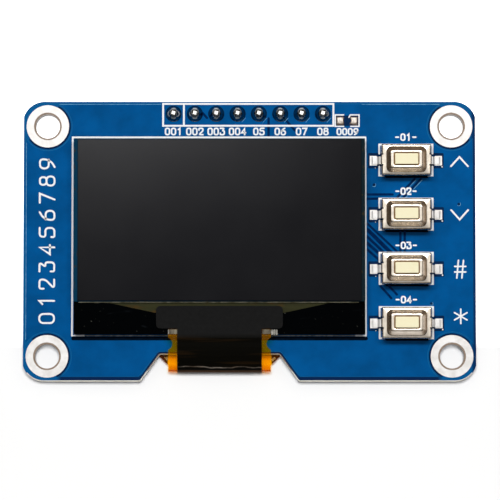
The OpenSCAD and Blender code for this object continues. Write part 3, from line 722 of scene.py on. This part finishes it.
SINK = 0.005
POUR_Z = board_top + 0.03
GAP_Z = POUR_Z + 0.002
SILK_Z = board_top + 0.046
PRINT_LOW = POUR_Z - SINK
EDGE_GAP, LOW_EDGE_GAP, EDGE_BARE = 0.3, 0.53, 0.1
HOLE_CLEAR, RING_BAND = 2.9, 2.74
RUN_X, RUN_Y, RUN_H, NOTCH_REACH = 26.4, -15.6, 3.3, 18
JOINT_CLEAR, PAD_CLEAR, PAD_OUT, PAD_IN, GAP_ROUND = 0.97, 0.47, 0.2, 1.5, 0.15
JUMPER_GAP = (10.26, 13.76, 13.0, 15.0)
JOINTS = 8
PIN_HALF, PIN_CAP = 0.32, 0.29
PANEL_SHADE_Y, PANEL_SHADE_W = 0.43, 0.46
KEY_SHADE_X, KEY_SHADE_Y, KEY_SHADE_W = (-2.3, 2.5), -1.89, 0.36
HIGHLIGHT_X, HIGHLIGHT_END, HIGHLIGHT_W = (-10.5, 13.4), (1.4, 2.0), 0.06
VIA_R, VIA_RIM_R = 0.17, 0.21
# Specks of print at the keys' terminals: side, distance out and down, and radius.
SPECKS = ((1, 0.38, 0.28, 0.09), (0, 0.3, 0.42, 0.05))
VIAS = ((14.81, 6.71), (24.87, 4.41), (21.56, -7.44))
RING_ARCS = ((1, 1, 120, 322), (-1, 1, 218, 420), (1, -1, 40, 242), (-1, -1, 298, 490))
TRACKS = (
    (0.29, (19.62, 7.39), (17.61, 5.25)), (0.29, (20.36, 7.39), (18.34, 5.25)),
    (0.29, (14.0, 5.56), (17.0, 5.56)), (0.29, (14.0, 5.05), (15.4, 5.05)),
    (0.29, (17.92, 1.1), (17.92, -1.5)), (0.29, (18.43, 1.1), (18.43, -1.5)),
    (0.27, (14.0, 2.09), (17.7, -1.4)), (0.46, (14.05, 1.33), (16.8, -1.4)),
    (0.32, (14.0, 0.52), (16.0, -1.4)), (0.36, (14.0, -0.24), (15.3, -1.42)),
    (0.3, (14.0, -1.02), (15.3, -2.17)),
    (0.29, (15.53, -5.34), (16.82, -6.8)), (0.29, (16.54, -5.34), (17.48, -6.35)),
    (0.29, (2.27, 14.65), (2.27, 12.6)), (0.29, (4.36, 14.42), (5.42, 13.2)),
    (0.29, (-5.57, 15.29), (-5.07, 14.72)),
)


def joint_places():
    """Centres of the header's joints."""
    first, last = pins_low.x + PIN_HALF, pins_high.x - PIN_HALF
    low, high = box_mm("header_solder")
    y = (low.y + high.y) / 2
    return [(first + (last - first) * i / (JOINTS - 1), y) for i in range(JOINTS)]


def trace(made, points, width, rise=0.0, bevel=0.001):
    """Adds a line on the mask, rise above the level of the gaps."""
    ribbon(made, points, width, PRINT_LOW, GAP_Z + rise, False, bevel)


def patch(made, outline, high=GAP_Z, bevel=0.001):
    """Adds a filled outline on the mask."""
    plate(made, outline, PRINT_LOW, high, bevel)


def pour_outline():
    """Outline of the copper, held back from the board's edge and holes."""
    least = board_low.y + LOW_EDGE_GAP
    outline = thinned([(x, max(y, least)) for x, y in shifted(board_outline(), EDGE_GAP)], 0.03)
    for hole in HOLES:
        outline = bite(outline, hole, HOLE_CLEAR)
    return outline


def add_pour():
    """Copper under the mask on both faces."""
    outline = pour_outline()
    for name in ("copper_pour_front", "copper_pour_back"):
        made = bmesh.new()
        plate(made, outline, board_top - SINK, POUR_Z)
        if name == "copper_pour_back":
            for vert in made.verts:
                vert.co.z = board_top - vert.co.z
        finish_piece(name, made, POUR)


def lower_run():
    """The board's outline along its lower edge, round the notch."""
    outline = board_outline()
    start = next(i for i, p in enumerate(outline) if p[0] > -RUN_X and p[1] < RUN_Y)
    return [p for p in outline[start:] + outline[:start] if p[1] < board_low.y + RUN_H and abs(p[0]) < RUN_X]


def add_gaps():
    """Bare stretches between the copper and the joints, pads, rings and notch, dark under the mask."""
    made = bmesh.new()
    for x, y in joint_places():
        patch(made, circle(x, y, JOINT_CLEAR))
    solder_low, solder_high = box_mm("key_solder")
    for key in KEYS:
        low, high = box_mm(f"key{key}_terminals")
        for x0, x1 in ((solder_low.x - PAD_OUT, low.x + PAD_IN), (high.x - PAD_IN, solder_high.x + PAD_OUT)):
            patch(made, soft_box(x0, low.y - PAD_CLEAR, x1, high.y + PAD_CLEAR, GAP_ROUND))
    patch(made, soft_box(*JUMPER_GAP, GAP_ROUND))
    for way_x, way_y, start, end in RING_ARCS:
        points = arc(way_x * hole_x, way_y * hole_y, (RING_BAND + RING_R) / 2, start, end, 40)
        trace(made, points, RING_BAND - RING_R + 0.02, 0.0008)
    run = [p for p in lower_run() if abs(p[0]) < NOTCH_REACH]
    trace(made, shifted(run, (EDGE_BARE + EDGE_GAP) / 2, False), EDGE_GAP - EDGE_BARE, 0.0005)
    finish_piece("copper_gaps", made, GAP)


def add_track_gaps():
    """Gaps between tracks at the right of the panel and below the header."""
    made = bmesh.new()
    for i, (width, *points) in enumerate(TRACKS):
        trace(made, points, width, 0.001 + 0.0005 * (i % 5), 0.002)
    ink = drifting_material("mask_track_gap", (0, 30, 72), (0, 42, 90), 0.01)
    finish_piece("track_gaps", made, ink)


def add_contact_shade():
    """Painted shadow: the darkest mask, along the panel's lower edge and under each key's lower side, where
    they cast shade.
    """
    made = bmesh.new()
    y = ledge_low.y - PANEL_SHADE_Y
    trace(made, [(ledge_low.x - 0.1, y), (ledge_high.x + 0.1, y)], PANEL_SHADE_W)
    for key in KEYS:
        middle = centre_mm(f"key{key}_cover")
        trace(made, [(middle.x + x, middle.y + KEY_SHADE_Y) for x in KEY_SHADE_X], KEY_SHADE_W)
    # Near-black ink for the painted shadow.
    ink = drifting_material("mask_painted_shadow", (0, 8, 20), (0, 16, 34), 0.01)
    finish_piece("painted_shadow_strips", made, ink)


def add_bare_laminate():
    """Bare board where the mask stops: lips of the mounting holes and the routed lower edge."""
    made = bmesh.new()
    for x, y in HOLES:
        for low, high in ((board_top - 0.01, board_top + 0.004), (-0.004, 0.01)):
            lip = circle(x, y, (HOLE_R + RING_HOLE_R) / 2, 48)
            ribbon(made, lip, RING_HOLE_R - HOLE_R + 0.01, low, high, True, 0.002)
    edge = shifted(lower_run(), EDGE_BARE / 2, False)
    ribbon(made, edge, EDGE_BARE, board_top - 0.01, board_top + 0.006, False, 0.002)
    finish_piece("bare_laminate", made, laminate_material())


def add_pour_shoulders():
    """Raised mask along the copper's border in a lighter blue that is a painted highlight, with brighter
    painted highlights along the top and left, where it faces the light.
    """
    outline = shifted(thinned(pour_outline(), 0.05), 0.03)
    made = bmesh.new()
    ribbon(made, outline, 0.05, PRINT_LOW, GAP_Z + 0.004, True, 0.01)
    # Painted highlight: the border line's lighter blue.
    finish_piece("pour_shoulder_highlight", made, drifting_material("mask_rim_highlight", (0, 98, 158), (4, 110, 168)))
    made = bmesh.new()
    top, left = max(y for x, y in outline) - 0.01, min(x for x, y in outline) + 0.01
    end_x, end_y = hole_x - HIGHLIGHT_END[0], hole_y - HIGHLIGHT_END[1]
    for points in ([(-end_x, top), (HIGHLIGHT_X[0], top)], [(HIGHLIGHT_X[1], top), (end_x, top)],
                   [(left, end_y), (left, -end_y)]):
        trace(made, points, HIGHLIGHT_W, 0.008, 0.01)
    finish_piece("pour_highlight", made, MASK_HIGHLIGHT)


def add_small_marks():
    """Vias, painted catch-lights on the raised mask, and specks of print at the keys' pads."""
    made = bmesh.new()
    for x, y in VIAS:
        patch(made, circle(x, y, VIA_R, 16), GAP_Z + 0.004, 0.01)
    finish_piece("vias", made, GAP)
    # Painted highlights: light arcs at the vias' rims, ticks beside the joints and lines beside two tracks.
    made = bmesh.new()
    for x, y in VIAS:
        trace(made, arc(x, y, VIA_RIM_R, 230, 400, 10), HIGHLIGHT_W, 0.01, 0.01)
    for x, y in joint_places()[3:]:
        trace(made, [(x + 0.5, y - 1.0), (x + 0.95, y - 0.5)], HIGHLIGHT_W, 0.012, 0.01)
    for _, *points in TRACKS[:2]:
        trace(made, [(x + 0.16, y - 0.12) for x, y in points], 0.07, 0.012, 0.01)
    finish_piece("painted_catchlights", made, MASK_HIGHLIGHT)
    made = bmesh.new()
    for key in KEYS:
        corners = box_mm(f"key{key}_terminals")
        for side, out, down, r in SPECKS:
            patch(made, circle(corners[side].x + out, corners[0].y - down, r, 10), SILK_Z, 0.01)
    finish_piece("print_specks", made, SILK)


# ---------- white print ----------

SILK_W, FINE_W, FOOT_W, SIGN_W = 0.23, 0.17, 0.16, 0.2
LINE_STEP = 0.0006
PANEL_FRAME = (-21.03, -11.25, 13.79, 12.38)
FRAME_FEET = (-19.6, 12.6)
PIN_FRAME = (-10.28, 13.77, 9.99, 16.39)
PIN_BAR = ((-7.81, 13.9), (-7.81, 16.27))
JUMPER_FRAME = (10.21, 13.7, 13.04, 15.07)
KEY_FRAME_X, KEY_FRAME_Y, KEY_FRAME_OPEN, KEY_FRAME_SIDE = 3.16, 1.85, 2.66, 0.78
KEY_FRAME_RISE = 0.08
ARROW_X, ARROWS = 24.97, ((8.94, 10.04), (3.69, 2.57))
HASH_X, HASH_Y = 25.0, -3.35
STAR_X, STAR_Y, STAR_R = 25.05, -8.95, 0.85
DIGIT_W = 0.62
# Texts: middle, height of the digits, and for the row at the left its stroke and spacing too.
KEY_TEXT_RISE, KEY_TEXT_H = 2.82, 0.72
PIN_TEXT_Y, PIN_TEXT_H = 13.09, 0.76
JUMPER_TEXT = (11.66, 13.07, 0.7)
ROW_TEXT, ROW_STYLE = (-24.05, 0, 1.75), (0.24, True, 1.17)


def strokes(mark):
    """Strokes of a digit or a dash in a cell 0.62 wide and 1 high, as (points, closed)."""
    w = DIGIT_W
    six = rounded([(w * 0.85, 1), (w * 0.3, 0.8), (0, 0.45), (0, 0), (w, 0), (w, 0.6), (0.03, 0.6)], 0.3)
    return {
        "-": [([(0.1, 0.5), (0.52, 0.5)], False)],
        "0": [(soft_box(0, 0, w, 1, 0.31, 5), True)],
        "1": [([(w * 0.2, 0.8), (w * 0.55, 1), (w * 0.55, 0)], False)],
        "2": [(rounded([(0, 0.72), (0, 1), (w, 1), (w, 0.6), (0, 0), (w, 0)], 0.28), False)],
        "3": [(rounded([(0, 1), (w, 1), (w / 2, 0.6), (w, 0.6), (w, 0), (0, 0), (0, 0.24)], 0.24), False)],
        "4": [([(w * 0.75, 0), (w * 0.75, 1), (0, 0.3), (w, 0.3)], False)],
        "5": [(rounded([(w, 1), (0.04, 1), (0, 0.6), (w, 0.62), (w, 0), (0, 0), (0, 0.2)], 0.26), False)],
        "6": [(six, False)],
        "7": [([(0, 1), (w, 1), (w * 0.35, 0)], False)],
        "8": [(soft_box(w * 0.08, 0.55, w * 0.92, 1, 0.24, 5), True),
              (soft_box(0, 0, w, 0.55, 0.27, 5), True)],
        "9": [([(w - x, 1 - y) for x, y in six], False)],
    }[mark]


def write(made, text, x, y, height, width=0.2, turned=False, space=0.95):
    """Prints digits centred on x, y. A dash is a short level stroke. turned runs up the board."""
    step = space * height
    start = -(len(text) * step - (space - DIGIT_W) * height) / 2
    for i, mark in enumerate(text):
        for k, (points, closed) in enumerate(strokes(mark)):
            flat = [(start + i * step + px * height, (py - 0.5) * height) for px, py in points]
            if turned:
                flat = [(-py, px) for px, py in flat]
            ribbon(made, [(x + px, y + py) for px, py in flat], width, PRINT_LOW, SILK_Z + 0.001 * k, closed)


def frame_lines():
    """Frames round the panel, the pins and the jumper, as (width, points, closed)."""
    x0, y0, x1, y1 = PANEL_FRAME
    u0, v0, u1, v1 = JUMPER_FRAME
    return [(SILK_W, [(x0, y0), (x0, y1), (x1, y1), (x1, y0)], False),
            (FOOT_W, [(x0, y0), (FRAME_FEET[0], y0)], False),
            (FOOT_W, [(FRAME_FEET[1], y0), (x1, y0)], False),
            (SILK_W, rectangle(*PIN_FRAME), True), (SILK_W, PIN_BAR, False),
            (FINE_W, [(11.2, v1), (u0, v1), (u0, v0), (11.2, v0)], False),
            (FINE_W, [(11.84, 14.8), (12.0, v1), (u1, v1), (u1, v0), (12.05, v0)], False)]


def key_lines(key):
    """Frame round a key: a line above it and corners below, open at the terminals."""
    middle = centre_mm(f"key{key}_cover")
    x, y = middle.x, middle.y + KEY_FRAME_RISE
    made = []
    for way in (-1, 1):
        for up in (-1, 1):
            outer = x + way * KEY_FRAME_X
            inner = x if up > 0 else x + way * KEY_FRAME_OPEN
            level = y + up * KEY_FRAME_Y
            made.append((SILK_W, [(outer, y + up * KEY_FRAME_SIDE), (outer, level), (inner, level)], False))
    return made


def sign_lines():
    """Two arrow heads, a hash and a star beside the keys."""
    arrows = [[(ARROW_X - 1, foot), (ARROW_X, tip), (ARROW_X + 1, foot)] for foot, tip in ARROWS]
    bars = []
    for off in (-0.3, 0.3):
        level = HASH_Y + off * 1.1
        bars.append([(HASH_X - 0.1 + off, HASH_Y - 1.05), (HASH_X + 0.1 + off, HASH_Y + 1.05)])
        bars.append([(HASH_X - 0.64, level), (HASH_X + 0.66, level)])
    for turn in (90, 30, -30):
        u, v = arc(0, 0, STAR_R, turn, turn)[0]
        bars.append([(STAR_X - u, STAR_Y - v), (STAR_X + u, STAR_Y + v)])
    return [(SILK_W, points, False) for points in arrows] + [(SIGN_W, points, False) for points in bars]


def add_print():
    """White print: frames, key signs and plain numbers. Lines that cross lie at different heights."""
    made = bmesh.new()
    lines = frame_lines() + [line for key in KEYS for line in key_lines(key)] + sign_lines()
    for i, (width, points, closed) in enumerate(lines, 1):
        ribbon(made, points, width, PRINT_LOW, SILK_Z + LINE_STEP * (i % 7), closed)
    for key in KEYS:
        middle = centre_mm(f"key{key}_cover")
        write(made, f"-0{key}-", middle.x, middle.y + KEY_TEXT_RISE, KEY_TEXT_H)
    for i, (x, _) in enumerate(joint_places(), 1):
        write(made, f"{i:03}" if i < 5 else f"{i:02}", x, PIN_TEXT_Y, PIN_TEXT_H)
    write(made, "0009", *JUMPER_TEXT)
    write(made, "0123456789", *ROW_TEXT, *ROW_STYLE)
    finish_piece("white_print", made, SILK)
    # Painted shade: the panel frame's lower line, under the panel's edge, printed grey.
    made = bmesh.new()
    y = PANEL_FRAME[1]
    ribbon(made, [(FRAME_FEET[0] - 0.2, y), (FRAME_FEET[1] + 0.2, y)], 0.12, PRINT_LOW, SILK_Z - 0.003)
    ink = drifting_material("print_in_shade", (104, 104, 96), (176, 176, 168))
    finish_piece("shaded_print", made, ink)


# ---------- the panel's ledge, the film and the jumper ----------

FAN_X, FAN_H = (-17.1, 9.97), 1.3
BONDS = ((-9.65, -11.1, -8.53, -10.58), (1.52, -11.1, 2.52, -10.58))
SILVER_X, SILVER_Y, SILVER_W = (2.68, 2.94, 3.2), (-10.66, -11.12), 0.23
FILM_GLINTS = (
    (0.12, (-10.1, -13.72), (-9.93, -13.9), (-9.8, -14.1)),
    (0.14, (-9.9, -13.7), (-9.78, -13.85), (-9.72, -14.0)),
    (0.26, (2.68, -14.1), (2.9, -13.9), (3.1, -13.78)),
    (0.2, (3.1, -14.3), (3.35, -14.15), (3.55, -14.0)),
)
# Middle along X, width, and pinch of the inner side of each of the jumper's pillows.
PILLOWS = ((10.8, 0.94, 0.05), (12.36, 1.06, 0.26))


def add_fan_out():
    """Conductors that narrow from the front glass to the tail, and a pale line along the glass's edge that
    is a painted highlight.
    """
    top = ledge_high.z
    y0, y1 = panel_low.y - 0.02, panel_low.y - FAN_H
    outline = [(tape_low.x - 0.1, y1), (tape_high.x + 0.1, y1), (FAN_X[1], y0), (FAN_X[0], y0)]
    made = bmesh.new()
    plate(made, outline, top - SINK, top + 0.006, 0.001)
    finish_piece("fan_out", made, fan_material())
    # Painted highlight along the front glass's lower edge.
    made = bmesh.new()
    edge = [(panel_low.x + 0.6, panel_low.y - 0.05), (panel_high.x - 0.8, panel_low.y - 0.05)]
    ribbon(made, edge, 0.1, top - SINK, top + 0.03, False, 0.005)
    finish_piece("glass_edge_line", made, edge_highlight_material())


def add_bond_strips():
    """Bonded ends of the film beside the tape, and bright slivers next to them."""
    made = bmesh.new()
    for x0, y0, x1, y1 in BONDS:
        base = surface_z("flex_tail", (x0 + x1) / 2, y0 + 0.1)
        plate(made, soft_box(x0, y0, x1, y1, 0.12), base - SINK, base + 0.012, 0.004)
    finish_piece("bond_strips", made, bond_material())
    made = bmesh.new()
    top = ledge_high.z
    for x in SILVER_X:
        ribbon(made, [(x, y) for y in SILVER_Y], SILVER_W, top - SINK, top + 0.01, False, 0.004)
    x = BONDS[0][0] + 0.06
    base = surface_z("flex_tail", x + 0.04, -10.9)
    ribbon(made, [(x, -10.62), (x, -11.08)], 0.1, base, base + 0.02, False, 0.004)
    silver = drifting_material("bond_silver", (128, 126, 118), (172, 170, 162))
    finish_piece("bond_silver", made, silver)


def draped(made, points, width, node):
    """Adds a thin strip that lies on a node's curved surface, cut off where it would leave the node."""
    rows = []
    for place, left in zip([Vector(p) for p in points], sides(points, False)):
        spots = [place + left * side * width / 2 for side in (1, -1)]
        heights = [surface_z(node, at.x, at.y) for at in spots]
        if None not in heights:
            a, b = [(at.x, at.y, z) for at, z in zip(spots, heights)]
            rows.append([made.verts.new(Vector(p) + Vector((0, 0, rise))) for p, rise in
                         ((a, 0.02), (b, 0.02), (b, -SINK), (a, -SINK))])
    if len(rows) > 1:
        loft(made, rows)


def add_film_glints():
    """Painted highlights: bright strips where the film's shoulders curl in the notch."""
    made = bmesh.new()
    for width, *points in FILM_GLINTS:
        draped(made, points, width, "flex_tail")
    finish_piece("film_glints", made, glint_material())


def pillow_outline(x, width, pinch):
    """Outline of one of the jumper's pads, with a pinched inner side."""
    a, b = width / 2, JUMPER_H / 2
    outline = [(0, b - 0.05), (-a, b), (pinch - a, 0), (-a, -b),
               (0, 0.05 - b), (a, -b), (a - 0.05, 0), (a, b)]
    return rounded([(x + u, JUMPER_Y + v) for u, v in outline], 0.12, True, 3)


def add_jumper():
    """Two pillows of solder on brown rims, which are painted shade round their edges, smaller than their
    pads' box.
    """
    rims, pillows = bmesh.new(), bmesh.new()
    for pad in PILLOWS:
        outline = pillow_outline(*pad)
        plate(rims, outline, board_top - SINK, board_top + 0.09, 0.03)
        plate(pillows, shifted(thinned(outline, 0.12), 0.09), board_top + 0.05, board_top + 0.13, 0.03)
    # Painted shade: brown rims round the pillows.
    rim = drifting_material("jumper_rim_shade", (74, 60, 50), (136, 118, 102))
    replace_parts(finish_piece("jumper_rims", rims, rim), "jumper_pads")
    finish_piece("jumper_pillows", pillows, jumper_material())


def add_pin_caps():
    """Solder-wetted ends of the header pins, in a brighter metal that is partly a painted highlight."""
    made = bmesh.new()
    top = pins_high.z
    for x, y in joint_places():
        outline = soft_box(x - PIN_CAP, y - PIN_CAP, x + PIN_CAP, y + PIN_CAP, 0.12, 4)
        plate(made, outline, top - 0.12, top + 0.02, 0.05)
    # Partly painted highlight: the caps' metal is brighter than the pins'.
    finish_piece("pin_caps", made, steel_material("pin_bright", (250, 248, 244), 0.3))


def bevelled_copy(node, width):
    """Finer copy of a CAD node with softened edges, which stands for the node."""
    made = bmesh.new()
    made.from_mesh(NODES[node].data)
    bmesh.ops.remove_doubles(made, verts=made.verts, dist=1e-6)
    bmesh.ops.dissolve_limit(made, angle_limit=math.radians(1), verts=made.verts, edges=made.edges)
    sharp = [e for e in made.edges if len(e.link_faces) == 2 and e.calc_face_angle() > math.radians(30)]
    bmesh.ops.bevel(made, geom=sharp, offset=width * MM, segments=2, profile=0.5, affect="EDGES",
                    clamp_overlap=True)
    bmesh.ops.scale(made, vec=(1 / MM, 1 / MM, 1 / MM), verts=made.verts)
    piece = finish_piece(node + "_finished", made, NODES[node].data.materials[0], angle=15)
    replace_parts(piece, node)
    return piece


# ---------- key covers ----------

SHEET, BEND = 0.15, 0.2
TONGUE_OUT, TONGUE_HALF, TONGUE_FOOT = 0.1, 0.55, 0.35
SLOT_END, SLOT_RINGS = 0.75, 5
COVER_L = cover_high.x - cover_low.x - 2 * TONGUE_OUT
COVER_W = cover_high.y - cover_low.y
BOSS_L, BOSS_W, BOSS_R, BOSS_H, BOSS_RUN = 4.7, 3.05, 0.6, 0.5, 0.5
WINDOW_L, WINDOW_W, WINDOW_R = 2.99, 1.54, 0.2


def cover_ring(length, width, r):
    """Points of a rounded rectangle, the same count for every size, from the middle of the right end."""
    a, b = length / 2, width / 2
    ys = [y * min(1, (b - r) / (SLOT_END + 0.02)) for y in (0, 0.3, TONGUE_HALF, SLOT_END)]
    xs = [x * min(1, (a - r) / 2.2) for x in (2.0, 1.2, 0.5, 0)]
    quarter = [(a, y) for y in ys] + arc(a - r, b - r, r, 0, 90, 6) + [(x, b) for x in xs]
    upper = quarter + [(-x, y) for x, y in quarter[-2::-1]]
    return upper + [(x, -y) for x, y in upper[-2:0:-1]]


def cover_profile():
    """Rings of the cover's outer face from its lower edge up to the window, as (length, width, r, z)."""
    rim = cover_high.z
    flat = rim - BOSS_H
    rings = [(COVER_L, COVER_W, 0.06, cover_low.z), (COVER_L, COVER_W, 0.06, flat - BEND)]
    for turn in (25, 50, 70, 90):
        t = math.radians(turn)
        inward = 2 * BEND * (1 - math.cos(t))
        rings.append((COVER_L - inward, COVER_W - inward, 0.1, flat - BEND * (1 - math.sin(t))))
    run = 2 * BOSS_RUN
    for grow, z in ((0.08, 0), (0.02, 0.015), (-0.06, 0.06), (0.14 - run, BOSS_H - 0.1),
                    (0.05 - run, BOSS_H - 0.03), (-0.06 - run, BOSS_H)):
        rings.append((BOSS_L + grow, BOSS_W + grow, BOSS_R + grow * 0.34, flat + z))
    for grow, z in ((0.1, 0), (0.03, -0.015), (0, -0.05), (0, -SHEET)):
        rings.append((WINDOW_L + grow, WINDOW_W + grow, WINDOW_R + grow / 2, rim + z))
    return rings


def add_key_cover(key):
    """Drawn steel cover: bent edges, end tongues between slots, and a raised panel with round corners."""
    middle = centre_mm(f"key{key}_cover")
    end = COVER_L / 2 - BEND
    made = bmesh.new()
    rings = []
    for length, width, r, z in cover_profile():
        ring = []
        for x, y in cover_ring(length, width, r):
            tongue = abs(x) > end + 0.001 and abs(y) < TONGUE_HALF + 0.001
            out = math.copysign(TONGUE_OUT if tongue else 0, x)
            foot = max(z, cover_low.z + TONGUE_FOOT) if tongue else z
            ring.append(made.verts.new((middle.x + x + out, middle.y + y, foot)))
        rings.append(ring)
    for k, (a, b) in enumerate(zip(rings, rings[1:])):
        for i in range(len(a)):
            here, after = a[i - 1].co, a[i].co
            y = (here.y + after.y) / 2 - middle.y
            at_end = min(abs(here.x - middle.x), abs(after.x - middle.x)) > end
            if not (k < SLOT_RINGS and at_end and TONGUE_HALF < abs(y) < SLOT_END):
                made.faces.new((a[i - 1], a[i], b[i], b[i - 1]))
    piece = finish_piece(f"key{key}_cover_drawn", made, COVER)
    thick = piece.modifiers.new("sheet", "SOLIDIFY")
    thick.thickness = SHEET * 0.8 * MM
    thick.offset = -1
    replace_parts(piece, f"key{key}_cover")


add_pour()
add_gaps()
add_track_gaps()
add_contact_shade()
add_bare_laminate()
add_pour_shoulders()
add_print()
add_small_marks()
add_fan_out()
add_bond_strips()
add_film_glints()
add_jumper()
add_pin_caps()
for key in KEYS:
    add_key_cover(key)
bevelled_copy("front_glass", 0.05)
polariser = bevelled_copy("polariser", 0.03)
bevelled_copy("back_glass", 0.05)


# ---------- light, floor and camera ----------

ROOM_EDGE = (0.14, 0.1, 0.068, 1)
# Room colours from the horizon (0) to straight above (1).
ROOM_STOPS = ((0.12, (0.12, 0.088, 0.06, 1)), (0.3, (0.05, 0.04, 0.03, 1)), (0.5, (0.07, 0.062, 0.055, 1)),
              (0.75, (0.17, 0.16, 0.15, 1)), (0.93, (0.88, 0.88, 0.88, 1)), (1.0, (0.95, 0.95, 0.95, 1)))
ROOM_SOUTH = (-0.3, 0.0, 0.4, 1.0)
FLOOR_HALF = 2.0
FLOOR_GREY, WHITE = (0.5, 0.5, 0.5, 1), (1, 1, 1, 1)
FLOOR_BRIGHT, FLOOR_FADE = 46, 45
FLOOR_FRONT_Z, FLOOR_CLEAR = -2.2, 0.03
GLOW_SPAN, GLOW_RANGE = (-12.5, -10.5), (0.06, 1.0)
# Direction, distance and size in metres, and power in watts.
NORTH_SOFTBOX = ((0.0, 0.42, 1.0), 0.7, (0.9, 0.12), 4.3)
FLOOR_LAMP = ((0.0, 0.0, 1.0), 0.6, (0.07, 0.07), 5.85)
PANEL_CARD = ((-0.014, 0.036, 0.066), 0.0764, (0.04, 0.03), 0.27)
CAMERA_LEAN = 4.6
CAMERA_DISTANCE = 460
CAMERA_TARGET = (0.06, -1.06, 1.6)
PIXELS_PER_MM = 8.422
SENSOR = 36


def floor_material():
    """White that glows behind the board's front edge, fades out far off and isn't seen from below."""
    paint = Paint("floor_white", FLOOR_GREY, roughness=0.9, specular=0.0)
    path = paint.node("LightPath").outputs
    seen = paint.calc("MAXIMUM", path["Is Glossy Ray"], path["Is Transmission Ray"])
    seen = paint.calc("MAXIMUM", path["Is Camera Ray"], seen)
    x, y, _ = paint.axes()
    paint.set("Emission Strength", paint.calc("MULTIPLY", seen, paint.remap(y, *GLOW_SPAN, *GLOW_RANGE)))
    away = paint.calc("SQRT", paint.calc("ADD", paint.calc("MULTIPLY", x, x), paint.calc("MULTIPLY", y, y)))
    fade = paint.remap(away, FLOOR_BRIGHT, FLOOR_BRIGHT + FLOOR_FADE, 0, 1)
    paint.set("Emission Color", paint.mix(fade, WHITE, ROOM_EDGE))
    paint.set("Base Color", paint.mix(fade, FLOOR_GREY, ROOM_EDGE))
    blend = paint.node("MixShader")
    paint.link(paint.node("NewGeometry").outputs["Backfacing"], blend.inputs[0])
    paint.link(paint.shader.outputs[0], blend.inputs[1])
    paint.link(paint.node("BsdfTransparent").outputs[0], blend.inputs[2])
    paint.link(blend.outputs[0], paint.output.inputs["Surface"])
    return paint.material


def add_floor():
    """Plain floor that leans from under the pins up to just below the board's front edge."""
    back_y, back_z = pins_high.y, pins_low.z - FLOOR_CLEAR
    slope = (FLOOR_FRONT_Z - back_z) / (board_low.y - back_y)
    rise = (back_z - slope * back_y) * MM
    corners = rectangle(-FLOOR_HALF, -FLOOR_HALF, FLOOR_HALF, FLOOR_HALF)
    mesh = bpy.data.meshes.new("floor")
    mesh.from_pydata([(x, y, rise + slope * y) for x, y in corners], [], [(0, 1, 2, 3)])
    mesh.materials.append(floor_material())
    floor = bpy.data.objects.new("floor", mesh)
    bpy.context.scene.collection.objects.link(floor)
    return floor


def aim(item, way, place):
    """Puts a lamp or camera at a place, so that it looks back along way."""
    bpy.context.scene.collection.objects.link(item)
    item.location = place
    item.rotation_mode = "QUATERNION"
    item.rotation_quaternion = way.to_track_quat("Z", "Y")


def add_lamp(name, direction, distance, size, power):
    """Square lamp that looks at the board's middle from a direction."""
    data = bpy.data.lights.new(name, "AREA")
    data.shape = "RECTANGLE"
    data.size, data.size_y = size
    data.energy = power
    lamp = bpy.data.objects.new(name, data)
    way = Vector(direction).normalized()
    aim(lamp, way, way * distance)
    return lamp


def receivers(lamp, piece, state):
    """Lights this piece alone (INCLUDE), or everything but it (EXCLUDE)."""
    group = bpy.data.collections.new(lamp.name + "_receivers")
    lamp.light_linking.receiver_collection = group
    group.objects.link(piece)
    group.collection_objects[0].light_linking.link_state = state


def add_world():
    """Soft room light: brown at the horizon, dark half way up, pale above and weaker from the south."""
    world = bpy.data.worlds.new("room")
    bpy.context.scene.world = world
    world.use_nodes = True
    room = Nodes(world.node_tree)
    _, y, z = room.split(room.place("Generated"))
    ramp = room.node("ValToRGB", Fac=z)
    stops = ramp.color_ramp.elements
    stops[0].position, stops[0].color = 0.0, ROOM_EDGE
    stops[1].position, stops[1].color = ROOM_STOPS[-1]
    for place, color in ROOM_STOPS[:-1]:
        stops.new(place).color = color
    background = room.tree.nodes["Background"]
    room.feed(background.inputs["Color"], ramp.outputs[0])
    room.feed(background.inputs["Strength"], room.remap(y, *ROOM_SOUTH))


def add_camera():
    """Long lens, leaning from the lower side of the board."""
    data = bpy.data.cameras.new("camera")
    data.sensor_width = SENSOR
    data.lens = SENSOR * PIXELS_PER_MM * CAMERA_DISTANCE / 500
    data.clip_start, data.clip_end = 0.01, 10
    camera = bpy.data.objects.new("camera", data)
    lean = math.radians(CAMERA_LEAN)
    back = Vector((0, -math.sin(lean), math.cos(lean)))
    aim(camera, back, (Vector(CAMERA_TARGET) + back * CAMERA_DISTANCE) * MM)
    bpy.context.scene.camera = camera


floor = add_floor()
add_world()
receivers(add_lamp("north_softbox", *NORTH_SOFTBOX), floor, "EXCLUDE")
floor_lamp = add_lamp("floor_lamp", *FLOOR_LAMP)
floor_lamp.visible_glossy = False
floor_lamp.visible_transmission = False
receivers(floor_lamp, floor, "INCLUDE")
receivers(add_lamp("panel_card", *PANEL_CARD), polariser, "INCLUDE")
add_camera()
bpy.context.scene.view_settings.view_transform = "Standard"
